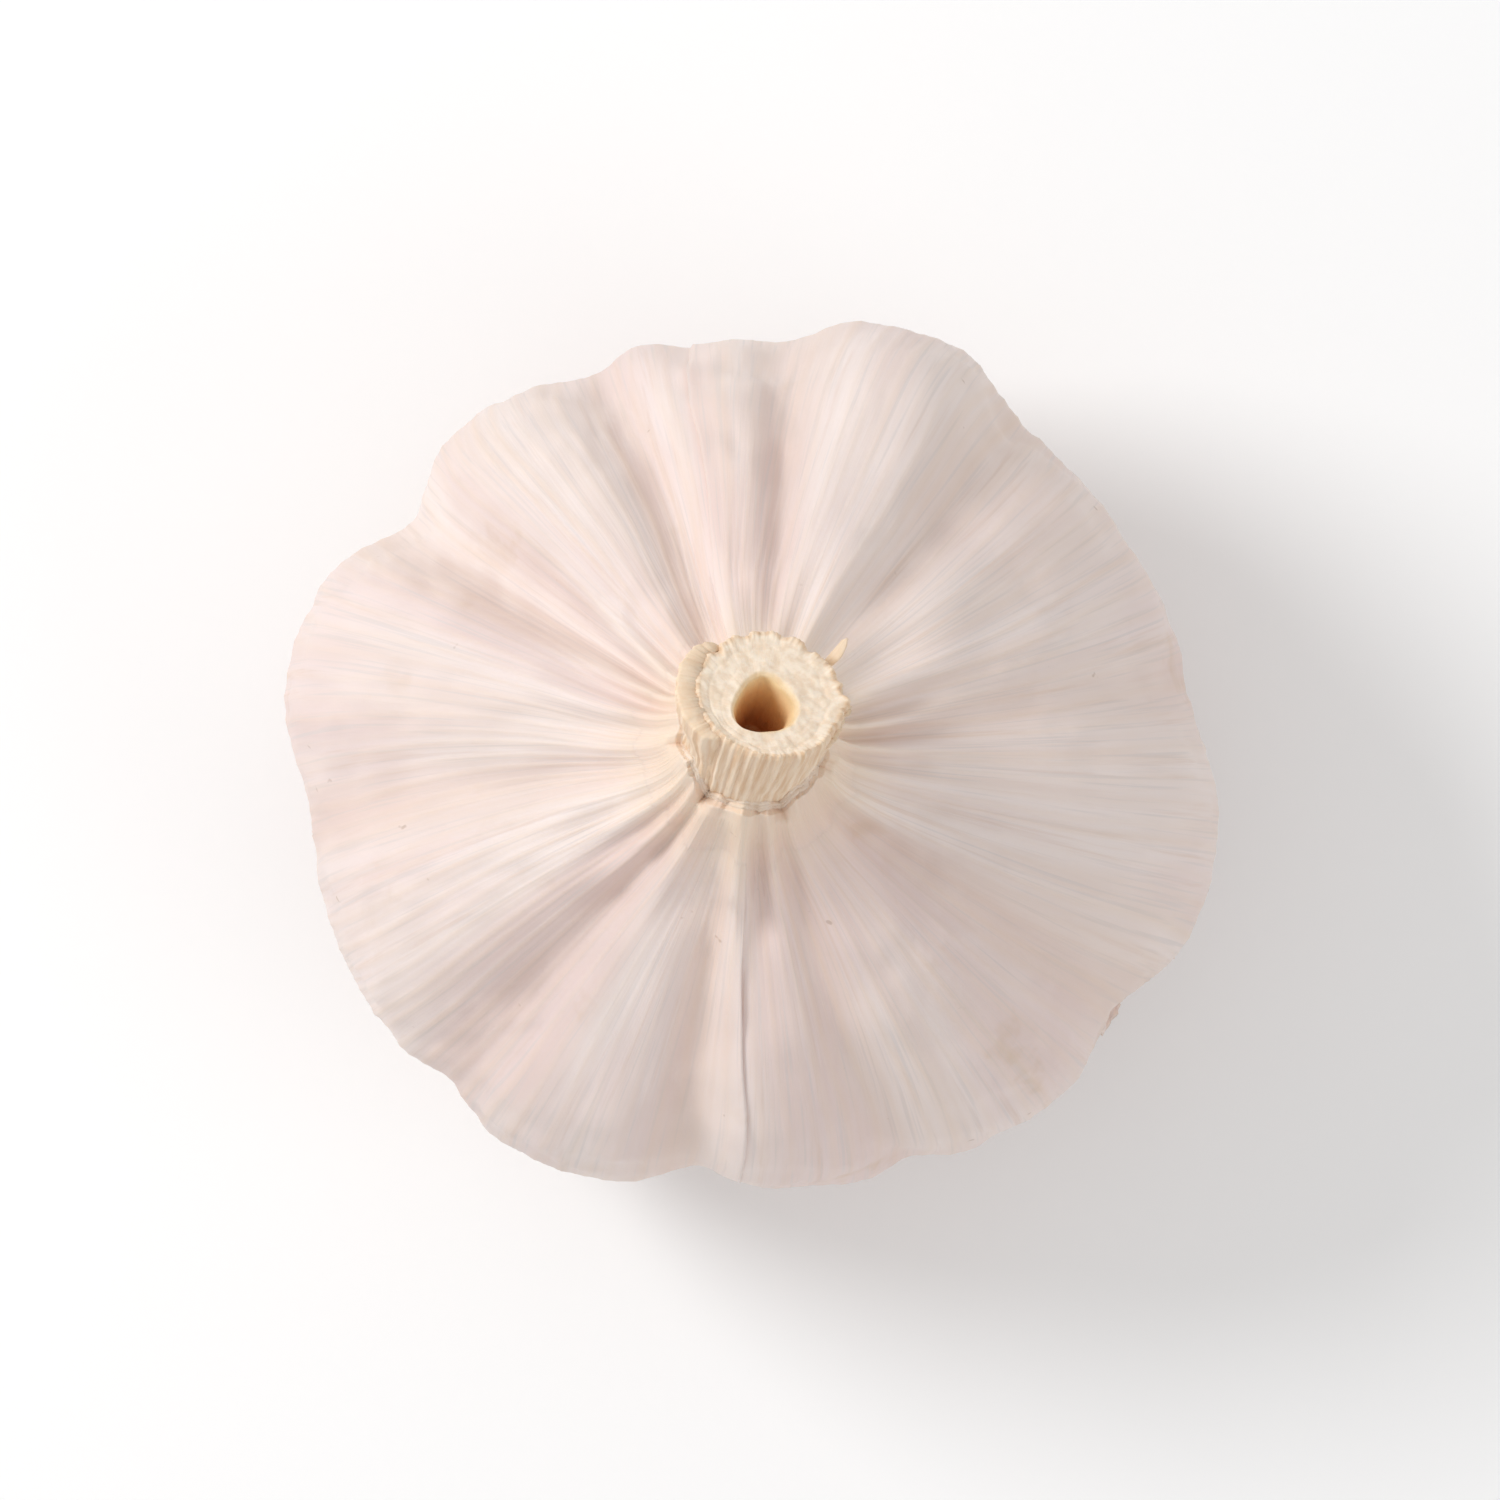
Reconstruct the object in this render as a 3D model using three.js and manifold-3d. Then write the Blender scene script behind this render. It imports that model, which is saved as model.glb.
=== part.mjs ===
// A garlic bulb as picked and trimmed: the bulb in its papery skins, the cut stem and the root plate.
// Millimetres, +Z up. The origin is the centre of the flat spot that the bulb rests on, and the
// cut stem leans towards +Y.

import * as THREE from "three";
import { mergeVertices } from "three/addons/utils/BufferGeometryUtils.js";
import Module from "manifold-3d";

const wasm = await Module();
wasm.setup();
const { Manifold, Mesh: ManifoldMesh } = wasm;

// ---- Driving dimensions ----
const BULB_RADIUS = 29.4; // mean reach of the cloves at the widest height
const BODY_HEIGHT = 43; // from the lowest clove bottom to where the neck begins
const ROOT_LIFT = 3.6; // the cloves' bottoms stand this far above the ground
const STEM_RADIUS = 4.8; // at the cut end
const STEM_LENGTH = 18; // along the stem's middle line, above the start of its bend
const STEM_LEAN = THREE.MathUtils.degToRad(24); // of the cut end, from upright
const STEM_LEAN_TOWARDS = THREE.MathUtils.degToRad(70); // from +X
const CUT_SLANT = THREE.MathUtils.degToRad(12); // of the cut face, from square across the stem
const PITH_HOLE_RADIUS = 2.05;
const PITH_HOLE_DEPTH = 8;
const PITH_HOLE_PLACE = [-0.4, -0.7]; // its middle from the stem's, along X and Y
const ROOT_PLATE_RADIUS = 8;
const REST_SPOT_RADIUS = 4;
const SKIN_THICKNESS = 0.7; // a torn skin is drawn this thick

// The cloves under the skin, anticlockwise from +X: where each one's crest points, in degrees, how far
// it reaches, and how much higher or lower than the others it sits. The groove is the one after it.
const CLOVES = [
  { angle: -12, reach: 30.5, rise: 0.6, groove: 0.9 },
  { angle: 30, reach: 27.4, rise: -0.8, groove: 1.0 },
  { angle: 68, reach: 28.9, rise: 0.9, groove: 1.0 },
  { angle: 97, reach: 26.4, rise: -0.4, groove: 1.1 },
  { angle: 127, reach: 27.1, rise: 0.7, groove: 1.6 },
  { angle: 171, reach: 29.8, rise: -0.5, groove: 0.8 },
  { angle: 207, reach: 29.0, rise: 0.8, groove: 1.0 },
  { angle: 245, reach: 29.7, rise: -0.7, groove: 1.1 },
  { angle: 274, reach: 28.1, rise: 0.5, groove: 0.8 },
  { angle: 306, reach: 29.9, rise: -0.2, groove: 1.1 },
];

// The skin's outline from the root recess to the collar: shares of BULB_RADIUS and of BODY_HEIGHT.
const SKIN_OUTLINE = [
  [0.3, 0.045],
  [0.36, 0.004],
  [0.47, -0.006],
  [0.6, 0.012],
  [0.74, 0.06],
  [0.88, 0.155],
  [0.967, 0.28],
  [1.0, 0.42],
  [0.97, 0.565],
  [0.872, 0.7],
  [0.705, 0.815],
  [0.5, 0.9],
  [0.34, 0.962],
  [0.235, 1.035],
  [0.186, 1.12],
];
// How deep the grooves between cloves are, in millimetres, at even steps along that outline.
const GROOVE_DEPTHS = [0, 0.7, 1.5, 1.8, 1.6, 1.3, 1.1, 1.2, 1.6, 2.0, 2.0, 1.4, 0.7, 0.2, 0];

// The skins' torn ends round the foot of the stem: degrees from +X, half the width in degrees, and
// how far each stands above the collar's rim.
const COLLAR_TEARS = [
  { angle: 12, spread: 26, height: 2.9 },
  { angle: 62, spread: 20, height: 1.5 },
  { angle: 104, spread: 30, height: 4.2 },
  { angle: 163, spread: 22, height: 2.1 },
  { angle: 204, spread: 24, height: 3.6 },
  { angle: 262, spread: 34, height: 1.8 },
  { angle: 316, spread: 24, height: 3.1 },
];

const NECK_PLEATS = 22;
const NECK_PLEAT_DEPTH = 0.42;
const STEM_RIBS = 22;
const STEM_RIB_HEIGHT = 0.2;
const SHEATH_STEP = 1.25; // a strip of leaf sheath stands this far off the stem at the cut

// The roots grow from the plate in rows, the first beside the rest spot and the last under the
// cloves. Radii and heights in millimetres.
const ROOT_ROWS = [
  { count: 17, radius: 4.4, height: 0.5, reach: 7.4 },
  { count: 25, radius: 6.0, height: 1.3, reach: 9.8 },
  { count: 34, radius: 7.0, height: 2.4, reach: 11.8 },
];

const bulbTop = ROOT_LIFT + BODY_HEIGHT;
const bendStart = bulbTop - 1.4; // the neck and the stem curve over from this height
const bendRadius = STEM_LENGTH / STEM_LEAN;
const pocketFloor = bendStart; // the stem stands on this face, inside the collar of skins
const recessHeight = ROOT_LIFT + 1.6; // the root plate grows from this face under the bulb
const neckRadius = SKIN_OUTLINE.at(-1)[0] * BULB_RADIUS;

// ---- Small tools ----
const smooth = (low, high, x) => THREE.MathUtils.smoothstep(x, low, high);

// The same numbers, between 0 and 1, on each run.
function seeded(seed) {
  let state = seed;
  return () => {
    state = (Math.imul(state, 1664525) + 1013904223) >>> 0;
    return state / 2 ** 32;
  };
}

// A value read from a list of values at even steps.
function readSteps(values, share) {
  const at = THREE.MathUtils.clamp(share, 0, 1) * (values.length - 1);
  const step = Math.min(Math.floor(at), values.length - 2);
  return THREE.MathUtils.lerp(values[step], values[step + 1], smooth(0, 1, at - step));
}

// Curves the neck and stem over towards STEM_LEAN_TOWARDS, like a rod bent from bendStart up.
function bend(point) {
  if (point.z <= bendStart) return point;
  const along = new THREE.Vector3(Math.cos(STEM_LEAN_TOWARDS), Math.sin(STEM_LEAN_TOWARDS), 0);
  const inPlane = point.x * along.x + point.y * along.y;
  const turn = (point.z - bendStart) / bendRadius;
  const moved = bendRadius - (bendRadius - inPlane) * Math.cos(turn);
  const height = bendStart + (bendRadius - inPlane) * Math.sin(turn);
  return point.clone().addScaledVector(along, moved - inPlane).setZ(height);
}

const polar = (radius, angle, z) =>
  new THREE.Vector3(radius * Math.cos(angle), radius * Math.sin(angle), z);

function ringOf(count, pointAt) {
  return Array.from({ length: count }, (_, i) => pointAt((2 * Math.PI * i) / count));
}

// A closed surface through rings of points, with a single point at each end.
function closedRings(startPoint, rings, endPoint) {
  const around = rings[0].length;
  const points = [startPoint, ...rings.flat(), endPoint];
  const last = points.length - 1;
  const faces = [];
  for (let i = 0; i < around; i++) {
    const next = (i + 1) % around;
    faces.push(0, 1 + next, 1 + i);
    faces.push(last, last - around + i, last - around + next);
    for (let row = 0; row < rings.length - 1; row++) {
      const low = 1 + row * around;
      const high = low + around;
      faces.push(low + i, low + next, high + next, low + i, high + next, high + i);
    }
  }
  return new THREE.BufferGeometry().setFromPoints(points).setIndex(faces);
}

// A tube that narrows along a curve.
function taperedTube(curve, startRadius, endRadius, sides, steps) {
  const frames = curve.computeFrenetFrames(steps, false);
  const rings = [];
  for (let step = 0; step <= steps; step++) {
    const share = step / steps;
    const middle = curve.getPointAt(share);
    const radius = THREE.MathUtils.lerp(startRadius, endRadius, share);
    rings.push(
      ringOf(sides, (a) =>
        middle
          .clone()
          .addScaledVector(frames.normals[step], radius * Math.cos(a))
          .addScaledVector(frames.binormals[step], radius * Math.sin(a)),
      ),
    );
  }
  return closedRings(curve.getPointAt(0), rings, curve.getPointAt(1));
}

// A closed thin sheet: a grid of points for its inner face, then the same grid for its outer face.
function blade(points, rows, columns) {
  const half = rows * columns;
  const faces = [];
  const quad = (a, b, c, d) => faces.push(a, b, c, a, c, d);
  const inner = (row, column) => row * columns + column;
  const outer = (row, column) => half + inner(row, column);
  for (let row = 0; row < rows - 1; row++) {
    for (let column = 0; column < columns - 1; column++) {
      quad(inner(row, column), inner(row, column + 1), inner(row + 1, column + 1), inner(row + 1, column));
      quad(outer(row, column), outer(row + 1, column), outer(row + 1, column + 1), outer(row, column + 1));
    }
    quad(inner(row, 0), inner(row + 1, 0), outer(row + 1, 0), outer(row, 0));
    const end = columns - 1;
    quad(inner(row + 1, end), inner(row, end), outer(row, end), outer(row + 1, end));
  }
  for (let column = 0; column < columns - 1; column++) {
    const end = rows - 1;
    quad(inner(0, column + 1), inner(0, column), outer(0, column), outer(0, column + 1));
    quad(inner(end, column), inner(end, column + 1), outer(end, column + 1), outer(end, column));
  }
  return new THREE.BufferGeometry().setFromPoints(points).setIndex(faces);
}

function toSolid(geometry) {
  const bare = geometry.clone().deleteAttribute("normal").deleteAttribute("uv");
  const merged = mergeVertices(bare, 1e-4);
  const mesh = new ManifoldMesh({
    numProp: 3,
    vertProperties: merged.attributes.position.array,
    triVerts: new Uint32Array(merged.index.array),
  });
  return new Manifold(mesh);
}

function toGeometry(solid) {
  const { vertProperties, triVerts } = solid.getMesh();
  const geometry = new THREE.BufferGeometry();
  geometry.setAttribute("position", new THREE.BufferAttribute(vertProperties, 3));
  geometry.setIndex(new THREE.BufferAttribute(triVerts, 1));
  geometry.computeVertexNormals();
  return geometry;
}

// The largest body of a solid, without the scraps that a cut leaves.
const largestBody = (solid) =>
  solid.decompose().reduce((best, body) => (body.volume() > best.volume() ? body : best));

// ---- The skin over the cloves ----
const outline = new THREE.SplineCurve(
  SKIN_OUTLINE.map(([r, h]) => new THREE.Vector2(r * BULB_RADIUS, ROOT_LIFT + h * BODY_HEIGHT)),
);

// The clove that lies under an angle: its index, and the place across it, -1 and 1 in the grooves.
function cloveAt(angle) {
  const degrees = THREE.MathUtils.euclideanModulo(THREE.MathUtils.radToDeg(angle) + 12, 360) - 12;
  const count = CLOVES.length;
  const crest = (i) => CLOVES[(i + count) % count].angle + 360 * Math.floor(i / count);
  for (let i = 0; i <= count; i++) {
    const before = (crest(i - 1) + crest(i)) / 2;
    const after = (crest(i) + crest(i + 1)) / 2;
    if (degrees <= after) {
      const across = (2 * (degrees - before)) / (after - before) - 1;
      return { index: i % count, across };
    }
  }
}

// A clove's own number, such as its reach, blended round the bulb from crest to crest.
function blendCloves(key, angle) {
  const { index, across } = cloveAt(angle);
  const count = CLOVES.length;
  const neighbour = CLOVES[(index + (across < 0 ? count - 1 : 1)) % count];
  return THREE.MathUtils.lerp(CLOVES[index][key], neighbour[key], smooth(0, 2, Math.abs(across)));
}

// How far the skin sinks between the cloves.
function grooveDepth(angle, share) {
  const wander = 0.05 * Math.sin(4.1 * share + 2 * angle) + 0.1 * (share - 0.5);
  const { index, across } = cloveAt(angle + wander);
  const count = CLOVES.length;
  const groove = CLOVES[across < 0 ? (index + count - 1) % count : index].groove;
  const shape = ((1 - Math.cos(Math.PI * Math.abs(across) ** 1.6)) / 2) ** 1.2;
  return readSteps(GROOVE_DEPTHS, share) * groove * shape;
}

// The pleats where the skins draw together at the neck.
function pleatHeight(angle, radius) {
  const fade = 1 - smooth(neckRadius * 1.3, neckRadius * 3.1, radius);
  const flat = smooth(neckRadius * 0.9, neckRadius * 1.6, radius);
  const uneven = 1 + 0.5 * Math.sin(3 * angle + 0.8) + 0.35 * Math.sin(7 * angle);
  const wave = Math.cos(NECK_PLEATS * angle + 2.2 * Math.sin(2 * angle) + 1.3 * Math.sin(5 * angle));
  return NECK_PLEAT_DEPTH * fade * (0.35 + 0.65 * flat) * uneven * wave;
}

// A point on the skin at a share of the outline, raised by lift along the outward normal.
function skinPoint(angle, share, lift = 0) {
  const place = outline.getPoint(share);
  const tangent = outline.getTangent(share);
  const fullness = smooth(0.3, 0.8, place.x / BULB_RADIUS);
  const reach = 1 + fullness * (blendCloves("reach", angle) / BULB_RADIUS - 1);
  const height = lift - grooveDepth(angle, share) + pleatHeight(angle, place.x);
  const radius = place.x * reach + height * tangent.y;
  const z = place.y + fullness * blendCloves("rise", angle) - height * tangent.x;
  return polar(radius, angle, z);
}

// The torn upper edge of the skins, round the foot of the stem.
function collarTear(angle) {
  const degrees = THREE.MathUtils.radToDeg(angle);
  const heights = COLLAR_TEARS.map((tear) => {
    const off = Math.abs(THREE.MathUtils.euclideanModulo(degrees - tear.angle + 180, 360) - 180);
    return tear.height * Math.max(0, 1 - off / tear.spread) ** 0.8;
  });
  return Math.max(...heights) + 0.25 * Math.sin(17 * angle);
}

function skinBody() {
  const around = NECK_PLEATS * 5;
  const rows = 26;
  const recessRadius = SKIN_OUTLINE[0][0] * BULB_RADIUS - 0.4;
  const pocketRadius = neckRadius - SKIN_THICKNESS;
  const rimHeight = outline.getPoint(1).y;
  const rings = [ringOf(around, (a) => polar(recessRadius, a, recessHeight))];
  for (let row = 0; row <= rows; row++)
    rings.push(ringOf(around, (a) => bend(skinPoint(a, row / rows))));
  // The torn ends lean out a little from the stem.
  const rim = (radius) =>
    ringOf(around, (a) => bend(polar(radius + 0.12 * collarTear(a), a, rimHeight + collarTear(a))));
  rings.push(rim(neckRadius), rim(pocketRadius));
  rings.push(ringOf(around, (a) => bend(polar(pocketRadius, a, rimHeight - 0.6))));
  rings.push(ringOf(around, (a) => polar(pocketRadius, a, pocketFloor)));
  return closedRings(
    new THREE.Vector3(0, 0, recessHeight),
    rings,
    new THREE.Vector3(0, 0, pocketFloor),
  );
}

// ---- Torn flaps of the outer skin ----
// angle and width are in degrees. A flap is torn from the skin at the share `root` of the outline, its
// free end is near the share `tip`, and it stands `lift` off the skin there.
const FLAPS = [
  { angle: 226, width: 38, root: 0.5, tip: 0.22, lift: 1.6, seed: 3 },
  { angle: 334, width: 28, root: 0.5, tip: 0.27, lift: 1.5, seed: 8 },
  { angle: 92, width: 34, root: 0.47, tip: 0.2, lift: 1.7, seed: 15 },
  { angle: 284, width: 46, root: 0.29, tip: 0.13, lift: 1.1, seed: 21 },
  { angle: 22, width: 44, root: 0.28, tip: 0.12, lift: 1.0, seed: 34 },
  { angle: 160, width: 50, root: 0.28, tip: 0.13, lift: 1.2, seed: 55 },
];

function flapBlade({ angle, width, root, tip, lift, seed }) {
  const random = seeded(seed);
  const columns = 8;
  const rows = 4;
  const sunk = -1; // the flap starts this deep in the skin that it is torn from
  const ends = Array.from({ length: columns + 1 }, (_, column) => {
    const middle = 1 - Math.abs((2 * column) / columns - 1) ** 2.5;
    return THREE.MathUtils.lerp(root, tip, 0.45 + 0.55 * middle * (0.6 + 0.4 * random()));
  });
  const points = [];
  for (const thickness of [0, SKIN_THICKNESS])
    for (let row = 0; row <= rows; row++)
      for (let column = 0; column <= columns; column++) {
        const taper = 1 - 0.4 * (row / rows) ** 1.5;
        const turn = angle + width * taper * (column / columns - 0.5);
        const curl = 1 + 0.15 * ((2 * column) / columns - 1) ** 2;
        const rise = sunk + (lift - sunk) * curl * (row / rows) ** 1.3;
        const share = THREE.MathUtils.lerp(root, ends[column], row / rows);
        points.push(skinPoint(THREE.MathUtils.degToRad(turn), share, rise + thickness));
      }
  return blade(points, rows + 1, columns + 1);
}

function bulb() {
  const flaps = FLAPS.map((flap) => toSolid(flapBlade(flap)));
  return largestBody(Manifold.union([toSolid(skinBody()), ...flaps]));
}

// ---- The cut stem ----
// Its radius at even steps from foot to cut, in shares of STEM_RADIUS.
const STEM_OUTLINE = [0.86, 0.85, 0.85, 0.87, 0.91, 0.96, 1];

// How near an angle is to a middle angle: 1 within `full` radians of it, 0 from `none` on.
function nearAngle(angle, middle, full, none) {
  const off = THREE.MathUtils.euclideanModulo(angle - middle + Math.PI, 2 * Math.PI) - Math.PI;
  return 1 - smooth(full, none, Math.abs(off));
}

// The long ribs of the stem, the strip of leaf sheath on its -X side and a torn tooth on its +X side.
function stemRadius(angle, share) {
  const wave = Math.cos(STEM_RIBS * angle + 1.4 * Math.sin(3 * angle));
  const uneven = 0.75 + 0.45 * Math.sin(5 * angle + 1);
  const ribs = STEM_RIB_HEIGHT * THREE.MathUtils.lerp(0.6, 1, share) * uneven * wave;
  const stand = smooth(0.42, 0.85, share) * (1 - smooth(0.97, 0.985, share));
  const sheath = SHEATH_STEP * stand * nearAngle(angle, 3.1, 0.64, 0.76);
  const tooth = 0.4 * smooth(0.85, 1, share) * nearAngle(angle, -0.05, 0.02, 0.16);
  return readSteps(STEM_OUTLINE, share) * STEM_RADIUS + ribs + sheath + tooth;
}

// A thin sliver of the stem that has split away from the cut rim.
function splinter(top) {
  const angle = THREE.MathUtils.degToRad(38);
  const path = new THREE.CatmullRomCurve3([
    polar(STEM_RADIUS - 1, angle, top - 4.6),
    polar(STEM_RADIUS - 0.1, angle, top - 3.2),
    polar(STEM_RADIUS + 1.1, angle, top - 2),
    polar(STEM_RADIUS + 2.1, angle + 0.05, top - 1.3),
  ]);
  const sliver = taperedTube(path, 0.5, 0.32, 5, 4);
  const { position } = sliver.attributes;
  for (let i = 0; i < position.count; i++) {
    const bent = bend(new THREE.Vector3().fromBufferAttribute(position, i));
    position.setXYZ(i, bent.x, bent.y, bent.z);
  }
  return sliver;
}

function stem() {
  const around = STEM_RIBS * 4;
  const top = bendStart + STEM_LENGTH;
  const lean = new THREE.Vector2(Math.cos(STEM_LEAN_TOWARDS), Math.sin(STEM_LEAN_TOWARDS));
  // A point of the slanted cut, or below it.
  const onCut = (x, y, below = 0) =>
    new THREE.Vector3(x, y, top - Math.tan(CUT_SLANT) * (x * lean.x + y * lean.y) - below);
  const rimPoint = (a) => {
    const radius = stemRadius(a, 1);
    return onCut(radius * Math.cos(a), radius * Math.sin(a));
  };
  // The pith hole is a rounded triangle with a corner towards +Y.
  const holePoint = (a, scale, below) => {
    const radius = scale * PITH_HOLE_RADIUS * (1 + 0.12 * Math.cos(3 * (a - Math.PI / 2)));
    const [x, y] = PITH_HOLE_PLACE;
    return onCut(x + radius * Math.cos(a), y + radius * Math.sin(a), below);
  };
  // The rim is torn where the ribs end.
  const tooth = (a) => 0.2 * Math.cos(STEM_RIBS * a + 1.4 * Math.sin(3 * a)) + 0.2 * Math.sin(7 * a);

  const rings = [0, 0.3, 0.55, 0.75, 0.97, 0.985, 1].map((share) =>
    ringOf(around, (a) => {
      const height = THREE.MathUtils.lerp(pocketFloor, rimPoint(a).z, share);
      return bend(polar(stemRadius(a, share), a, share === 1 ? height + tooth(a) : height));
    }),
  );
  // The cut face, dished a little between the rim and the hole.
  for (const [inward, sink] of [[0.2, 0.05], [0.6, 0.3], [0.9, 0.15]])
    rings.push(
      ringOf(around, (a) => {
        const point = rimPoint(a).lerp(holePoint(a, 1, 0), inward);
        return bend(point.setZ(point.z - sink));
      }),
    );
  rings.push(ringOf(around, (a) => bend(holePoint(a, 1, 0.5))));
  rings.push(ringOf(around, (a) => bend(holePoint(a, 0.7, PITH_HOLE_DEPTH))));
  const shaft = closedRings(
    new THREE.Vector3(0, 0, pocketFloor),
    rings,
    bend(onCut(...PITH_HOLE_PLACE, PITH_HOLE_DEPTH)),
  );
  return largestBody(toSolid(shaft).add(toSolid(splinter(top))));
}

// ---- The root plate and its trimmed roots ----
function rootPlate() {
  const belowGround = -0.6; // trimmed off at the ground, so that the rest spot is one flat face
  const profile = [
    [0, belowGround],
    [REST_SPOT_RADIUS - 0.5, belowGround],
    [REST_SPOT_RADIUS + 0.5, 0.6],
    [ROOT_PLATE_RADIUS * 0.86, 2.2],
    [ROOT_PLATE_RADIUS, 3.6],
    [ROOT_PLATE_RADIUS, recessHeight],
    [0, recessHeight],
  ].map(([r, z]) => new THREE.Vector2(r, z));
  return new THREE.LatheGeometry(profile, 28).rotateX(Math.PI / 2);
}

// One root: out of the plate, then curling down and out along the ground.
function root({ count, radius, height, reach }, index, random) {
  const angle = ((index + 0.5 * random()) * 2 * Math.PI) / count + radius;
  const length = reach - 0.8 - radius + 1.6 * random();
  const curl = (random() - 0.5) * 0.36;
  const tip = -0.2 + 0.75 * height * random();
  return new THREE.CatmullRomCurve3([
    polar(radius - 0.6, angle, height + 0.2),
    polar(radius + 0.4 * length, angle + 0.5 * curl, height),
    polar(radius + 0.8 * length, angle - 0.2 * curl, (height + tip) / 2),
    polar(radius + length, angle + curl, tip),
  ]);
}

function rootBeard() {
  const random = seeded(7);
  const roots = ROOT_ROWS.flatMap((row) =>
    Array.from({ length: row.count }, (_, i) =>
      toSolid(taperedTube(root(row, i, random), 0.5, 0.35, 4, 3)),
    ),
  );
  const ground = new THREE.BoxGeometry(60, 60, 10).translate(0, 0, -5);
  return largestBody(Manifold.union([toSolid(rootPlate()), ...roots]).subtract(toSolid(ground)));
}

// ---- The part ----
function piece(name, solid, color, roughness) {
  const material = new THREE.MeshStandardMaterial({ color, roughness, metalness: 0 });
  const mesh = new THREE.Mesh(toGeometry(solid), material);
  mesh.name = name;
  return mesh;
}

const garlic = new THREE.Group();
garlic.add(piece("bulb", bulb(), 0xeee3d6, 0.5));
garlic.add(piece("stem", stem(), 0xe9d3b0, 0.7));
garlic.add(piece("root_plate", rootBeard(), 0x9c7448, 0.9));

export default garlic;
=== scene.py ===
"""A garlic bulb: finer skins, stem and roots with their materials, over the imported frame.

Lengths are in millimetres, like the CAD source's, and new_mesh() turns them into metres. The materials,
the lights and the camera are in metres.
"""

import math

import bpy
import numpy as np
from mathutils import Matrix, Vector


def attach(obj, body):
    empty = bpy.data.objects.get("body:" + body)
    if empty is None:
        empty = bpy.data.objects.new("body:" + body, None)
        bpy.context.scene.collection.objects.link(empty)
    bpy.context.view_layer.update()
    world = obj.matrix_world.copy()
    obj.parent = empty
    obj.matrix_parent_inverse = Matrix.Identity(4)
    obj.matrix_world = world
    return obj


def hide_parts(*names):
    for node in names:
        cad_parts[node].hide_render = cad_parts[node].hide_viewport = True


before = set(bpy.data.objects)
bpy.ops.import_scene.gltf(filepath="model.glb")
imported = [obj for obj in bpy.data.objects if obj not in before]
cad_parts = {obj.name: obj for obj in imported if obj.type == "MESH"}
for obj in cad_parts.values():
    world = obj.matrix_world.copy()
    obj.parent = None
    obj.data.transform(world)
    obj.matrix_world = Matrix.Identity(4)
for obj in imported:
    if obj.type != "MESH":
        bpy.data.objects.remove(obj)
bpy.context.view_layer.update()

MM = 0.001

# ---- The bulb's form, from the same named values as the CAD source ----
BULB_RADIUS = 29.4
BODY_HEIGHT = 43.0
ROOT_LIFT = 3.6
STEM_RADIUS = 4.8
STEM_LENGTH = 18.0
STEM_LEAN = math.radians(24)
STEM_LEAN_TOWARDS = math.radians(70)
CUT_SLANT = math.radians(12)
PITH_HOLE_RADIUS = 2.05
PITH_HOLE_DEPTH = 8.0
PITH_HOLE_PLACE = (-0.4, -0.7)
ROOT_PLATE_RADIUS = 8.0
REST_SPOT_RADIUS = 4.0
SKIN_THICKNESS = 0.7

# The cloves: angle of the crest in degrees from +X, reach, rise, and depth of the groove after it.
ANGLE, REACH, RISE, GROOVE = range(4)
CLOVES = np.array(
    [
        (-12, 30.5, 0.6, 0.9),
        (30, 27.4, -0.8, 1.0),
        (68, 28.9, 0.9, 1.0),
        (97, 26.4, -0.4, 1.1),
        (127, 27.1, 0.7, 1.6),
        (171, 29.8, -0.5, 0.8),
        (207, 29.0, 0.8, 1.0),
        (245, 29.7, -0.7, 1.1),
        (274, 28.1, 0.5, 0.8),
        (306, 29.9, -0.2, 1.1),
    ]
)
# The skin's outline from the root recess to the collar: shares of BULB_RADIUS and of BODY_HEIGHT.
SKIN_OUTLINE = np.array(
    [
        (0.3, 0.045),
        (0.36, 0.004),
        (0.47, -0.006),
        (0.6, 0.012),
        (0.74, 0.06),
        (0.88, 0.155),
        (0.967, 0.28),
        (1.0, 0.42),
        (0.97, 0.565),
        (0.872, 0.7),
        (0.705, 0.815),
        (0.5, 0.9),
        (0.34, 0.962),
        (0.235, 1.035),
        (0.186, 1.12),
    ]
)
# How deep the grooves are at even steps along that outline.
GROOVE_DEPTHS = np.array([0, 0.7, 1.5, 1.8, 1.6, 1.3, 1.1, 1.2, 1.6, 2.0, 2.0, 1.4, 0.7, 0.2, 0])
# The skins' torn ends round the foot of the stem: angle and half width in degrees, and height.
COLLAR_TEARS = [
    (12, 26, 2.9),
    (62, 20, 1.5),
    (104, 30, 4.2),
    (163, 22, 2.1),
    (204, 24, 3.6),
    (262, 34, 1.8),
    (316, 24, 3.1),
]
NECK_PLEATS = 22
NECK_PLEAT_DEPTH = 0.42
STEM_RIBS = 22
# A strip of leaf sheath stands this far off the stem at the cut.
SHEATH_STEP = 1.25
# The stem's radius at even steps from foot to cut, in shares of STEM_RADIUS.
STEM_OUTLINE = np.array([0.86, 0.85, 0.85, 0.87, 0.91, 0.96, 1])

BULB_TOP = ROOT_LIFT + BODY_HEIGHT
BEND_START = BULB_TOP - 1.4
BEND_RADIUS = STEM_LENGTH / STEM_LEAN
STEM_TOP = BEND_START + STEM_LENGTH
LEAN_X = math.cos(STEM_LEAN_TOWARDS)
LEAN_Y = math.sin(STEM_LEAN_TOWARDS)
RECESS_HEIGHT = ROOT_LIFT + 1.6
NECK_RADIUS = SKIN_OUTLINE[-1, 0] * BULB_RADIUS
TAU = 2 * math.pi


def smooth(low, high, x):
    """Eases from 0 at low to 1 at high, which may be the lesser."""
    t = np.clip((x - low) / (high - low), 0, 1)
    return t * t * (3 - 2 * t)


def mix(a, b, t):
    return a + (b - a) * t


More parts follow.
